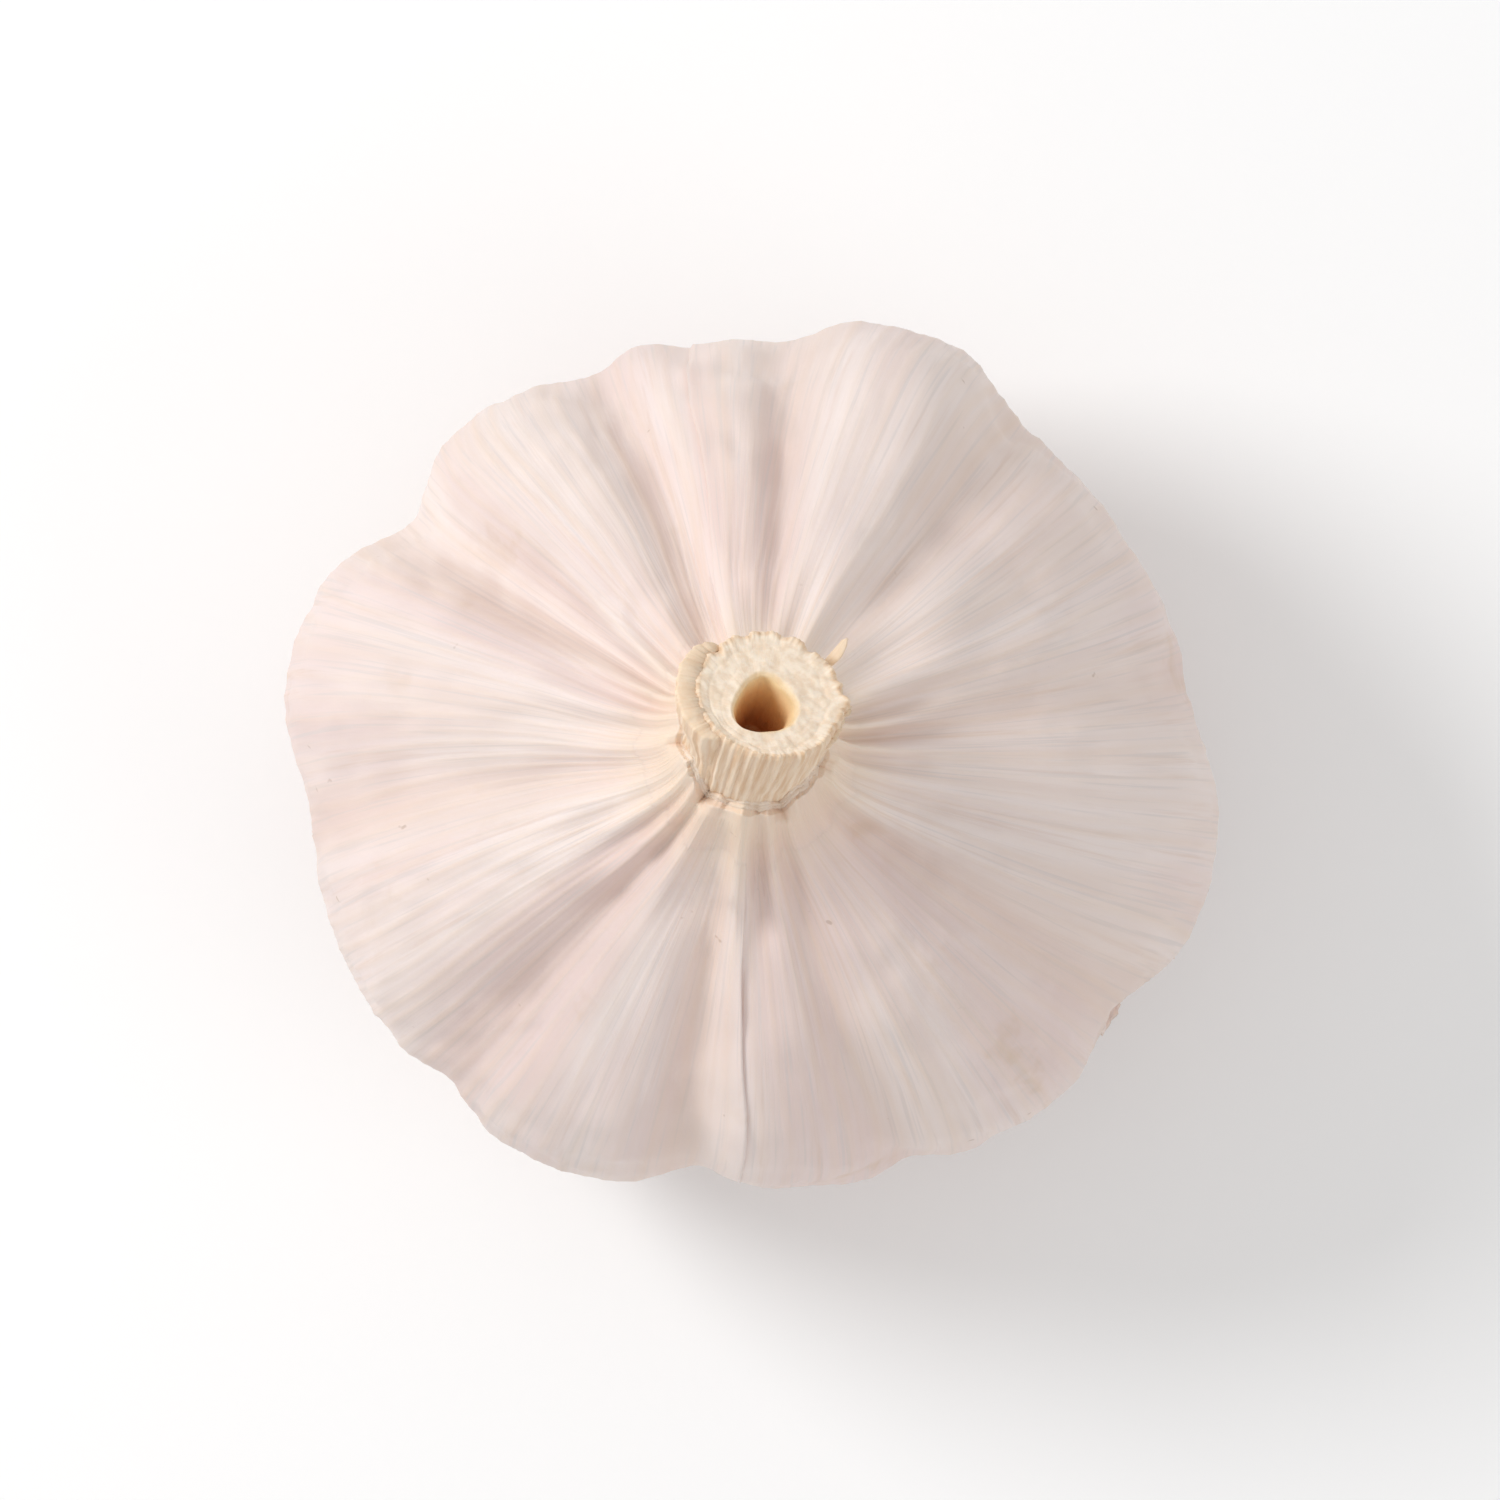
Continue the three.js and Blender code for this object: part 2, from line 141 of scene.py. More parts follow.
def read_steps(values, share):
    """A value read from a list of values at even steps."""
    at = np.clip(share, 0, 1) * (len(values) - 1)
    step = np.minimum(np.floor(at).astype(int), len(values) - 2)
    return mix(values[step], values[step + 1], smooth(0, 1, at - step))


def bend(points):
    """Curves the neck and stem over, like a rod bent from BEND_START up."""
    x, y, z = points[..., 0], points[..., 1], points[..., 2]
    in_plane = x * LEAN_X + y * LEAN_Y
    turn = np.maximum(z - BEND_START, 0) / BEND_RADIUS
    shift = BEND_RADIUS - (BEND_RADIUS - in_plane) * np.cos(turn) - in_plane
    height = BEND_START + (BEND_RADIUS - in_plane) * np.sin(turn)
    height = np.where(z > BEND_START, height, z)
    return np.stack([x + LEAN_X * shift, y + LEAN_Y * shift, height], axis=-1)


def polar(radius, angle, z):
    radius, angle, z = np.broadcast_arrays(radius, angle, z)
    return np.stack([radius * np.cos(angle), radius * np.sin(angle), z], axis=-1)


def spline_points(knots, share):
    """Points of a smooth curve through knots, at shares from 0 to 1."""
    last = len(knots) - 1
    at = share * last
    i = np.minimum(np.floor(at).astype(int), last)
    w = (at - i)[:, None]
    p0, p1 = knots[np.maximum(i - 1, 0)], knots[i]
    p2, p3 = knots[np.minimum(i + 1, last)], knots[np.minimum(i + 2, last)]
    v0, v1 = (p2 - p0) / 2, (p3 - p1) / 2
    return (2 * p1 - 2 * p2 + v0 + v1) * w**3 + (3 * p2 - 3 * p1 - 2 * v0 - v1) * w**2 + v0 * w + p1


# The outline as a table at even shares of it: points, unit tangents, and the length up to each point.
TABLE_SHARES = np.linspace(0, 1, 1401)
TABLE_POINTS = spline_points(SKIN_OUTLINE * (BULB_RADIUS, BODY_HEIGHT) + (0, ROOT_LIFT), TABLE_SHARES)
TABLE_TANGENTS = np.gradient(TABLE_POINTS, TABLE_SHARES, axis=0)
TABLE_TANGENTS /= np.linalg.norm(TABLE_TANGENTS, axis=1)[:, None]
TABLE_STEPS = np.linalg.norm(np.diff(TABLE_POINTS, axis=0), axis=1)
TABLE_LENGTHS = np.concatenate([[0], np.cumsum(TABLE_STEPS)])


def outline(share):
    """Radius and height at a share of the outline, and its tangent's two parts there."""
    r, z = (np.interp(share, TABLE_SHARES, TABLE_POINTS[:, k]) for k in (0, 1))
    tr, tz = (np.interp(share, TABLE_SHARES, TABLE_TANGENTS[:, k]) for k in (0, 1))
    return r, z, tr, tz


def arc_length(share):
    return np.interp(share, TABLE_SHARES, TABLE_LENGTHS)


def share_at(length):
    return np.interp(length, TABLE_LENGTHS, TABLE_SHARES)


RIM_HEIGHT = outline(1.0)[1]


def clove_at(angle):
    """The clove under each angle: its index, and the place across it, -1 and 1 in the grooves."""
    first, second, last = CLOVES[[0, 1, -1], ANGLE]
    degrees = (np.degrees(angle) - first) % 360 + first
    crests = np.concatenate([[last - 360], CLOVES[:, ANGLE], [first + 360, second + 360]])
    middles = (crests[:-1] + crests[1:]) / 2
    slot = np.searchsorted(middles, degrees, side="left") - 1
    across = 2 * (degrees - middles[slot]) / (middles[slot + 1] - middles[slot]) - 1
    return slot % len(CLOVES), across


def blend_cloves(column, angle):
    """A column of CLOVES, blended round the bulb from crest to crest."""
    index, across = clove_at(angle)
    neighbour = (index + np.where(across < 0, -1, 1)) % len(CLOVES)
    values = CLOVES[:, column]
    return mix(values[index], values[neighbour], smooth(0, 2, np.abs(across)))


def groove_depth(angle, share):
    """How far the skin sinks between the cloves."""
    wander = 0.05 * np.sin(4.1 * share + 2 * angle) + 0.1 * (share - 0.5)
    index, across = clove_at(angle + wander)
    groove = CLOVES[np.where(across < 0, index - 1, index), GROOVE]
    shape = ((1 - np.cos(np.pi * np.abs(across) ** 1.6)) / 2) ** 1.2
    return read_steps(GROOVE_DEPTHS, share) * groove * shape


def pleat_height(angle, radius):
    """The pleats where the skins draw together at the neck."""
    fade = 1 - smooth(NECK_RADIUS * 1.3, NECK_RADIUS * 3.1, radius)
    flat = smooth(NECK_RADIUS * 0.9, NECK_RADIUS * 1.6, radius)
    uneven = 1 + 0.5 * np.sin(3 * angle + 0.8) + 0.35 * np.sin(7 * angle)
    wave = np.cos(NECK_PLEATS * angle + 2.2 * np.sin(2 * angle) + 1.3 * np.sin(5 * angle))
    return NECK_PLEAT_DEPTH * fade * (0.35 + 0.65 * flat) * uneven * wave


def skin_point(angle, share, lift=0.0):
    """A point on the skin, raised by lift along the outward normal."""
    r, z, tr, tz = outline(share)
    fullness = smooth(0.3, 0.8, r / BULB_RADIUS)
    reach = 1 + fullness * (blend_cloves(REACH, angle) / BULB_RADIUS - 1)
    height = lift - groove_depth(angle, share) + pleat_height(angle, r)
    radius = r * reach + height * tz
    up = z + fullness * blend_cloves(RISE, angle) - height * tr
    return polar(radius, angle, up)


def collar_tear(angle):
    """How far the skins' torn upper edge stands above the collar's rim."""
    degrees = np.degrees(angle)
    heights = [
        height * np.maximum(0, 1 - np.abs((degrees - at + 180) % 360 - 180) / spread) ** 0.8
        for at, spread, height in COLLAR_TEARS
    ]
    return np.max(heights, axis=0) + 0.25 * np.sin(17 * angle)


# ---- Seeded variation ----
class Ripples:
    """A smooth random field in space, made of a few seeded waves; about -1 to 1."""

    def __init__(self, seed, wavelength, stretch=(1, 1, 1), count=26):
        rng = np.random.default_rng(seed)
        direction = rng.normal(size=(count, 3))
        direction /= np.linalg.norm(direction, axis=1)[:, None]
        scale = TAU / (wavelength * rng.uniform(0.6, 1.7, count))
        self.waves = direction * scale[:, None] / np.array(stretch)
        self.phase = rng.uniform(0, TAU, count)
        self.gain = 1.6 / math.sqrt(count)

    def __call__(self, points):
        flat = points.reshape(-1, 3) @ self.waves.T + self.phase
        return (np.sin(flat).sum(axis=1) * self.gain).reshape(points.shape[:-1])


def along_noise(seed, length):
    """A seeded wavy function of one number."""
    rng = np.random.default_rng(seed)
    count = 9
    waves = TAU / (length * rng.uniform(0.25, 1.6, count))
    phase = rng.uniform(0, TAU, count)
    weight = rng.uniform(0.4, 1, count) / math.sqrt(count)
    return lambda x: np.sin(np.multiply.outer(x, waves) + phase) @ weight


# ---- Meshes ----
def new_mesh(name, points, faces):
    mesh = bpy.data.meshes.new(name)
    mesh.from_pydata((np.asarray(points) * MM).tolist(), [], faces)
    mesh.validate()
    mesh.shade_smooth()
    piece = bpy.data.objects.new(name, mesh)
    bpy.context.scene.collection.objects.link(piece)
    return piece


def grid_faces(rows, columns, offset=0, wrap=False, flip=False):
    """Quads over a grid of points, row by row; wrap joins the last column to the first."""
    row = np.arange(rows - 1)[:, None]
    column = np.arange(columns if wrap else columns - 1)[None, :]
    a = row * columns + column
    b = row * columns + (column + 1) % columns
    quads = np.stack([a, b, b + columns, a + columns], axis=-1).reshape(-1, 4) + offset
    return (quads[:, ::-1] if flip else quads).tolist()


def tube_faces(count, around, offset=0):
    """Faces of a closed tube of rings of points, followed by one point for each end."""
    start = offset + count * around
    last_ring = start - around
    faces = grid_faces(count, around, offset=offset, wrap=True)
    for i in range(around):
        after = (i + 1) % around
        faces.append([start, offset + after, offset + i])
        faces.append([start + 1, last_ring + i, last_ring + after])
    return faces


def closed_tube(name, rings, start, end):
    """A closed surface through rings of points, with one point at each end."""
    rings = np.asarray(rings)
    points = np.concatenate([rings.reshape(-1, 3), [start, end]])
    return new_mesh(name, points, tube_faces(*rings.shape[:2]))


def sheet_grid(columns, rows, first=0):
    """Places across a sheet, from first to 1, and along it, from 0 to 1."""
    return np.meshgrid(np.linspace(first, 1, columns), np.linspace(0, 1, rows))


def sheet(name, outer, inner):
    """A closed thin sheet between two grids of points."""
    rows, columns = outer.shape[:2]
    half = rows * columns
    points = np.concatenate([outer.reshape(-1, 3), inner.reshape(-1, 3)])
    faces = grid_faces(rows, columns) + grid_faces(rows, columns, offset=half, flip=True)
    grid = np.arange(half).reshape(rows, columns)
    edge = np.concatenate([grid[0], grid[1:, -1], grid[-1, -2::-1], grid[-2:0:-1, 0]]).tolist()
    for a, b in zip(edge, edge[1:] + edge[:1]):
        faces.append([b, a, a + half, b + half])
    return new_mesh(name, points, faces)


def give(piece, name, values, kind="FLOAT"):
    """Stores a number or a vector for each of a piece's points, for its material."""
    values = np.asarray(values, dtype=float)
    attribute = piece.data.attributes.new(name, kind, "POINT")
    key = "vector" if kind == "FLOAT_VECTOR" else "value"
    attribute.data.foreach_set(key, values.ravel())


def both_faces(shape, *values):
    """Values over a sheet's grid, the same for both of its faces."""
    return [np.tile(np.broadcast_to(value, shape).ravel(), 2) for value in values]


def dress(piece, node, material):
    """Puts a piece in the place of a CAD node and its material."""
    piece.data.materials.append(material)
    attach(piece, "root")
    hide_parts(node)


# ---- The skin over the cloves ----
SHALLOW_DENTS = Ripples(11, 15)
SMALL_DENTS = Ripples(12, 5.5)
CREASES = Ripples(13, 2.2, stretch=(1, 1, 3.5), count=34)
CREASED_WHERE = Ripples(14, 11)


def skin_relief(angle, share):
    """Dents and fine creases that every layer of skin follows."""
    at = skin_point(angle, share)
    creased = np.clip(0.35 + 0.65 * CREASED_WHERE(at), 0, 1) ** 2
    radius = np.hypot(at[..., 0], at[..., 1])
    calm = smooth(NECK_RADIUS, NECK_RADIUS * 2.2, radius)
    dents = 0.24 * SHALLOW_DENTS(at) + 0.09 * SMALL_DENTS(at)
    return calm * (dents + 0.06 * creased * CREASES(at))


def vein_pattern(count, spacing, seed):
    """Vein heights over a row of columns, 0 to 1: one strong vein every few, with fine ones between."""
    rng = np.random.default_rng(seed)
    heights = np.zeros(count)
    at = 0.0
    while at < count - spacing * 0.6:
        column = int(at)
        size = rng.uniform(0.55, 1)
        for offset, part in ((-1, 0.45), (0, 1), (1, 0.45)):
            heights[(column + offset) % count] += size * part
        middle = int(at + spacing * rng.uniform(0.4, 0.6))
        heights[middle % count] += rng.uniform(0.15, 0.4)
        at += spacing * rng.uniform(0.65, 1.4)
    return np.clip(heights, 0, 1)


def veins_over(grid, spacing, seed):
    """One pattern of veins, the same in every row of a grid."""
    return np.broadcast_to(vein_pattern(grid.shape[1], spacing, seed), grid.shape)


def vein_drift(angle, share):
    """How far the veins wander from straight meridians, in radians."""
    low = 0.03 * np.sin(2 * angle + 5 * share) + 0.016 * np.sin(5 * angle - 7 * share + 1)
    return low * smooth(0, 0.25, share) * (1 - smooth(0.8, 0.98, share))


def skin_facts(piece, column_angle, share, vein, across):
    """What the skin material reads: grain along the veins, the vein itself, grooves, where shade is
    painted, and height.
    """
    length = arc_length(share) / BULB_RADIUS
    grain = np.stack([np.cos(column_angle), np.sin(column_angle), length], axis=-1)
    give(piece, "grain", grain, "FLOAT_VECTOR")
    give(piece, "vein", vein)
    # groove: where the skin material paints shade between the cloves
    give(piece, "groove", smooth(0.62, 1.0, np.abs(across)))
    give(piece, "along", share)


VEIN_HEIGHT = 0.11
# The collar's rings: how far up its torn ends, and how far in from their outside.
COLLAR_RINGS = ((0.35, 0.0), (0.7, 0.0), (0.94, 0.0), (1.0, 0.06), (0.97, 0.14))
# A ledge inside the collar fills the gap round the stem: its drop from the torn edge, and the radii of
# its two rings as shares of STEM_RADIUS.
LEDGE_DROP = 0.05
LEDGE_RINGS = (0.94, 0.75)


def collar_rings(theta):
    """Rings up the torn collar, over its edge and in to the stem."""
    tear = collar_tear(theta)
    fray = 0.16 * along_noise(31, 0.3)(theta) * smooth(0.2, 1.5, tear)
    lean = 0.02 + 0.05 * along_noise(32, 1.5)(theta)
    pleats = pleat_height(theta, NECK_RADIUS)
    hug = NECK_RADIUS - SKIN_THICKNESS + 0.14  # the torn ends lean in to here, against the stem
    rings = []
    for rise, inward in COLLAR_RINGS:
        radius = mix(NECK_RADIUS, hug, smooth(0, 0.9, rise)) + lean * tear * rise - inward
        radius = radius + pleats * (1 - 0.5 * rise)
        rings.append(polar(radius, theta, RIM_HEIGHT + (tear + fray) * rise))
    ledge = RIM_HEIGHT + tear + fray - LEDGE_DROP
    for share in LEDGE_RINGS:
        rings.append(polar(STEM_RADIUS * share, theta, ledge))
    return bend(np.array(rings))


def skin_body():
    columns, rows = 840, 104
    theta = np.arange(columns) * TAU / columns
    spread = share_at(np.linspace(0, TABLE_LENGTHS[-1], rows))
    column_angle, share = np.meshgrid(theta, spread)
    angle = column_angle + vein_drift(column_angle, share)
    fade = smooth(0.02, 0.2, share) * (0.75 + 0.25 * np.sin(9 * share + 3 * column_angle))
    fade = fade * (1 - 0.6 * smooth(0.84, 0.94, share))
    veins = veins_over(share, 6.5, 21) * fade
    lift = skin_relief(angle, share) + VEIN_HEIGHT * veins
    body = bend(skin_point(angle, share, lift))
    recess = polar(SKIN_OUTLINE[0, 0] * BULB_RADIUS - 0.4, theta, RECESS_HEIGHT)
    collar = collar_rings(theta)
    rings = np.concatenate([recess[None], body, collar])
    end = bend(np.array([0, 0, RIM_HEIGHT]))
    piece = closed_tube("bulb_skin", rings, (0, 0, RECESS_HEIGHT), end)

    across = clove_at(angle)[1] * smooth(0.05, 0.3, share)
    pad = ((1, len(collar)), (0, 0))
    padded = [np.pad(value, pad, mode="edge") for value in (column_angle, share, veins, across)]
    ends = ((0, 0), (0, 1), (0, 0), (0, 0))  # at the points in the recess and in the collar
    skin_facts(piece, *(np.append(value, at_ends) for value, at_ends in zip(padded, ends)))
    return piece


def rounded_end(below, size):
    """From 0 at a sheath's end, in a quarter circle, to 1 a size below it."""
    return np.sqrt(1 - np.clip(1 - below / size, 0, 1) ** 2)


# The torn ends of inner skins pressed round the foot of the stem: middle in degrees, how far each
# stands above the collar, and how far its outer face is from the stem at its end and lower down.
NECK_SHEATHS = [
    {"middle": 250, "above": 0.9, "faces": (0.0, 0.16), "seed": 131},
    {"middle": 300, "above": 0.55, "faces": (0.14, 0.3), "seed": 142},
    {"middle": 200, "above": 0.3, "faces": (0.26, 0.45), "seed": 153},
]
NECK_SHEATH_HALF = 179  # half the width of each, in degrees


def neck_sheath(number, middle, above, faces, seed):
    u, v = sheet_grid(240, 26, first=-1)
    angle = np.radians(middle + NECK_SHEATH_HALF * u) + 0.04 * along_noise(seed, 0.5)(v) * v
    tears = 0.7 + 0.5 * along_noise(seed + 1, 1.2)(angle) + 0.1 * along_noise(seed + 2, 0.2)(angle)
    height = above * np.clip(tears, 0.1, 1.3) * (1 - 0.55 * np.abs(u) ** 6)
    top = RIM_HEIGHT + collar_tear(angle) + height
    z = mix(BEND_START + 0.4, top, 1 - (1 - v) ** 1.7)
    pleats = 0.04 * np.cos(NECK_PLEATS * angle + 2.2 * np.sin(2 * angle))
    radius = stem_radius(angle, (z - BEND_START) / STEM_LENGTH) + pleats
    outer = bend(polar(radius + mix(*faces, rounded_end(top - z, 0.35)), angle, z))
    inner = bend(polar(radius - 0.15, angle, z))
    piece = sheet(f"neck_sheath_{number}", outer, inner)
    veins = veins_over(u, 6, seed + 5)
    skin_facts(piece, *both_faces(u.shape, angle, 0.93 + 0.07 * v, veins, 0))
    return piece


# ---- Outer skins with torn edges ----
# The two lie together over the shoulders and part below the widest height. angles: where the side
# edges are above that height, in degrees; parts: how many degrees each has drawn back at the bottom;
# shares: where the lower and the upper edge are on the outline; tears: middle and half width in degrees
# of the tears in the lower edge, and the share that each reaches up to; seams: the seed of each side
# edge's course, the same for the two edges that meet.
OUTER_SKINS = [
    {
        "name": "outer_skin_right",
        "angles": (-98, 100),
        "parts": (26, 14),
        "shares": (0.17, 0.982),
        "tears": [(-30, 13, 0.42), (28, 17, 0.36), (66, 7, 0.3)],
        "seams": (62, 61),
        "seed": 41,
    },
    {
        "name": "outer_skin_left",
        "angles": (94.5, 268),
        "parts": (16, 30),
        "shares": (0.2, 0.972),
        "tears": [(140, 12, 0.36), (192, 18, 0.44)],
        "seams": (61, 62),
        "seed": 52,
    },
]
# Where the two overlap, each skin's first side edge is lowered and its second one raised.
SEAM_LIFTS = (-0.2, 0.06)
UPPER_END_SINK = 0.4  # so that the skins' upper ends go into the body


def torn_lower_edge(whole, nominal, tears, ragged):
    """The share of the outline where a skin ends: its whole edge, with tears reaching up from it."""
    low = whole
    for middle, half, reach in tears:
        off = np.abs(np.degrees(nominal) - middle + 2.5 * ragged(low * 9)) / half
        low = np.maximum(low, mix(reach, low, np.clip(off, 0, 1) ** 0.7))
    return low


def side_edges(angles, parts, seams, seed, share, parted):
    """The angles of a skin's two side edges at each height, in radians."""
    own = along_noise(seed + 3, 0.5), along_noise(seed + 4, 0.5)
    fine = along_noise(seed + 5, 0.16)
    course = 0.045 * (1 - 0.6 * smooth(0.8, 1, share))
    wander = [
        course * along_noise(seams[k], 0.5)(share)
        + 0.035 * parted * own[k](share)
        + 0.004 * fine(share + k)
        for k in (0, 1)
    ]
    start = np.radians(angles[0] + parts[0] * parted) + wander[0]
    end = np.radians(angles[1] - parts[1] * parted) + wander[1]
    return start, end


def edge_curl(gaps, share, nominal, parted, seed):
    """How far a skin curls off the body near its side and lower edges."""
    first, second = along_noise(seed + 6, 0.5), along_noise(seed + 7, 0.5)
    curls = [
        np.clip(0.35 + 0.7 * first(share), 0.05, 1.0) * smooth(0.2, 0.7, parted),
        np.clip(0.35 + 0.7 * second(share), 0.05, 1.0) * smooth(0.1, 1.0, parted),
        np.clip(0.25 + 0.6 * first(nominal), 0.05, 0.8),
    ]
    curl = sum(c * np.exp(-((gap / 1.5) ** 1.2)) for gap, c in zip(gaps, curls))
    return curl + sum(lift * np.exp(-((gap / 4) ** 2)) for gap, lift in zip(gaps, SEAM_LIFTS))


def outer_skin(name, angles, parts, shares, tears, seams, seed):
    u, v = sheet_grid(320, 104)
    nominal = np.radians(mix(angles[0], angles[1], u))
    ragged = along_noise(seed, 0.7), along_noise(seed + 1, 0.3), along_noise(seed + 2, 1.1)
    whole = shares[0] + 0.035 * ragged[0](nominal) + 0.006 * ragged[1](nominal)
    low = torn_lower_edge(whole, nominal, tears, ragged[1])
    high = shares[1] + 0.012 * ragged[2](nominal) + 0.002 * ragged[1](nominal + 2)
    share = mix(whole, high, v) + (low - whole) * (1 - v) ** 2.5
    parted = smooth(0.47, 0.16, share)
    start, end = side_edges(angles, parts, seams, seed, share, parted)
    column_angle = mix(start, end, u)
    angle = column_angle + vein_drift(column_angle, share)

    radius = outline(share)[0]
    gaps = [
        np.maximum((column_angle - start) * radius, 0),
        np.maximum((end - column_angle) * radius, 0),
        np.maximum(arc_length(share) - arc_length(low), 0),
    ]
    curl = edge_curl(gaps, share, nominal, parted, seed)
    near_neck = smooth(0.78, 0.93, share)
    veins = veins_over(share, 5.5, seed + 8) * (0.8 + 0.2 * np.sin(8 * share + 4 * column_angle))
    ridges = mix(0.9, 0.4, near_neck) * VEIN_HEIGHT * veins
    own = 0.05 * np.clip(Ripples(seed + 9, 7)(skin_point(angle, share)), -1, 1)
    relief = skin_relief(angle, share)
    sink = UPPER_END_SINK * smooth(0.9, 1.0, v)
    lift = mix(0.3, 0.13, near_neck) + own * (1 - near_neck) + relief + ridges + curl - sink
    closed = sum(np.exp(-((gap / 3) ** 2)) for gap in gaps[:2]) * (1 - smooth(0.2, 0.6, parted))
    thickness = 0.1 + 0.3 * np.clip(closed + near_neck, 0, 1)
    outer = bend(skin_point(angle, share, lift))
    inner = bend(skin_point(angle, share, lift - thickness - ridges))
    piece = sheet(name, outer, inner)
    across = clove_at(angle)[1] * smooth(0.05, 0.3, share)
    skin_facts(piece, *both_faces(u.shape, column_angle, share, veins, across))
    return piece


# ---- Torn flaps ----
# angle and width are in degrees. A flap hangs from the share `root` of the outline, its free end is
# near the share `tip`, and it stands about `lift` off the skin there.
FLAPS = [
    {"angle": 226, "width": 38, "root": 0.5, "tip": 0.22, "lift": 1.6, "seed": 3},
    {"angle": 334, "width": 28, "root": 0.5, "tip": 0.27, "lift": 1.5, "seed": 8},
    {"angle": 92, "width": 34, "root": 0.47, "tip": 0.2, "lift": 1.7, "seed": 15},
    {"angle": 284, "width": 46, "root": 0.29, "tip": 0.13, "lift": 1.1, "seed": 21},
    {"angle": 22, "width": 44, "root": 0.28, "tip": 0.12, "lift": 1.0, "seed": 34},
    {"angle": 160, "width": 50, "root": 0.28, "tip": 0.13, "lift": 1.2, "seed": 55},
]


def source_draws(seed, count):
    """The same seeded numbers as the CAD source draws for a flap."""
    draws = []
    for _ in range(count):
        seed = (seed * 1664525 + 1013904223) % 2**32
        draws.append(seed / 2**32)
    return np.array(draws)


def flap(number, angle, width, root, tip, lift, seed):
    knots = np.linspace(0, 1, 9)
    middle = 1 - np.abs(2 * knots - 1) ** 2.5
    reach = 0.45 + 0.55 * middle * (0.6 + 0.4 * source_draws(seed, len(knots)))
    ends = mix(root, tip, reach)
    u, v = sheet_grid(72, 44)
    end = np.interp(u, knots, ends) + 0.005 * along_noise(seed + 60, 0.25)(u) * v
    share = mix(root, end, v)
    taper = 1 - 0.4 * v**1.5
    sway = 0.02 * along_noise(seed + 61, 0.5)(v) * v
    column_angle = np.radians(angle + width * taper * (u - 0.5)) + sway
    # The upper flaps hang from the outer skins, the lower ones from the skin under them.
    on_outer_skin = root > 0.4
    sunk, clear = (-0.1, 0.75) if on_outer_skin else (-0.25, 0.45)
    curl = 1 + 0.15 * (2 * u - 1) ** 2
    wave = 0.22 * v * along_noise(seed + 62, 0.45)(u) + 0.12 * v * along_noise(seed + 63, 0.3)(v)
    rise = sunk + (lift + 0.35 - sunk) * curl * v**1.5 + wave
    lowest = smooth(0.0, 0.5, v) * clear - 0.25
    streaks = 0.3 * along_noise(seed + 65, 0.12)(u) * (1 - smooth(0.1, 0.6, v))
    base = np.maximum(rise, lowest) + streaks + skin_relief(column_angle, share)
    veins = veins_over(share, 9, seed + 64)
    outer = skin_point(column_angle, share, base + 0.08 + 0.06 * veins)
    inner = skin_point(column_angle, share, base)
    piece = sheet(f"skin_flap_{number}", outer, inner)
    skin_facts(piece, *both_faces(u.shape, column_angle, share, veins, 0))
    return piece


# ---- The cut stem ----
# Angles in radians from +X.
LEFT_SHEATH_ANGLE = 3.1
RIM_TOOTH_ANGLE = -0.05


def on_cut(x, y):
    """The height of the slanted cut."""
    return STEM_TOP - math.tan(CUT_SLANT) * (x * LEAN_X + y * LEAN_Y)


def face_height(radius, angle):
    return on_cut(radius * np.cos(angle), radius * np.sin(angle))


def near_angle(angle, middle, full, none):
    """1 within `full` radians of a middle angle, 0 from `none` on."""
    off = (angle - middle + math.pi) % TAU - math.pi
    return 1 - smooth(full, none, np.abs(off))


# Notches in the cut rim: angle and half width in radians, and depth.
RIM_NOTCHES = [
    (2.36, 0.08, 0.2),
    (1.85, 0.06, 0.16),
    (1.32, 0.06, 0.18),
    (0.92, 0.07, 0.22),
    (0.33, 0.06, 0.16),
    (-0.5, 0.07, 0.2),
    (-1.25, 0.05, 0.12),
    (-2.0, 0.06, 0.14),
]


def rim_notches(angle):
    return sum(depth * near_angle(angle, at, 0, 2 * half) for at, half, depth in RIM_NOTCHES)


def rib_wave(angle):
    return np.cos(STEM_RIBS * angle + 1.4 * np.sin(3 * angle))


def fine_rib_wave(angle):
    return np.cos(2 * STEM_RIBS * angle + 2.8 * np.sin(3 * angle) + 0.6 * np.sin(8 * angle))


def rib_shade(angle):
    """1 on the ribs and -1 between them, for the stem material's painted shade between the ribs."""
    return 0.4 * rib_wave(angle) + 0.6 * fine_rib_wave(angle)


def under_sheath(angle):
    """1 where the left sheath lies against the stem's rim, 0 elsewhere."""
    return near_angle(angle, LEFT_SHEATH_ANGLE, 0.5, 0.85)


def stem_radius(angle, share, ribbing=1.0):
    """The ribbed stem's radius, with the notches and the tooth of its rim."""
    uneven = 0.75 + 0.45 * np.sin(5 * angle + 1)
    ribs = 0.07 * uneven * rib_wave(angle) + 0.035 * fine_rib_wave(angle)
    ribs = ribs * ribbing * (1 - mix(0.35, 0.85, under_sheath(angle)) * smooth(0.93, 1, share))
    fine = 0.02 * np.cos(97 * angle + 2 * np.sin(4 * angle) + 1.5 * share)
    tooth = 0.4 * smooth(0.85, 1, share) * near_angle(angle, RIM_TOOTH_ANGLE, 0.02, 0.16)
    rim = tooth - rim_notches(angle) * smooth(0.9, 1, share)
    foot = 0.35 * smooth(0.36, 0.14, share)
    body = read_steps(STEM_OUTLINE, share) * STEM_RADIUS + foot
    return body + ribs * mix(0.6, 1, share) + fine + rim


def stem_facts(piece, angle, height, zone, depth, rib, ring):
    """What the stem material reads: grain, 1 on the cut face, depth in the hole, ribs, hole to rim;
    depth, ribs and rim also steer painted shade.
    """
    grain = np.stack([np.cos(angle), np.sin(angle), height / STEM_RADIUS], axis=-1)
    give(piece, "grain", grain, "FLOAT_VECTOR")
    for name, values in (("zone", zone), ("depth", depth), ("rib", rib), ("ring", ring)):
        give(piece, name, values)


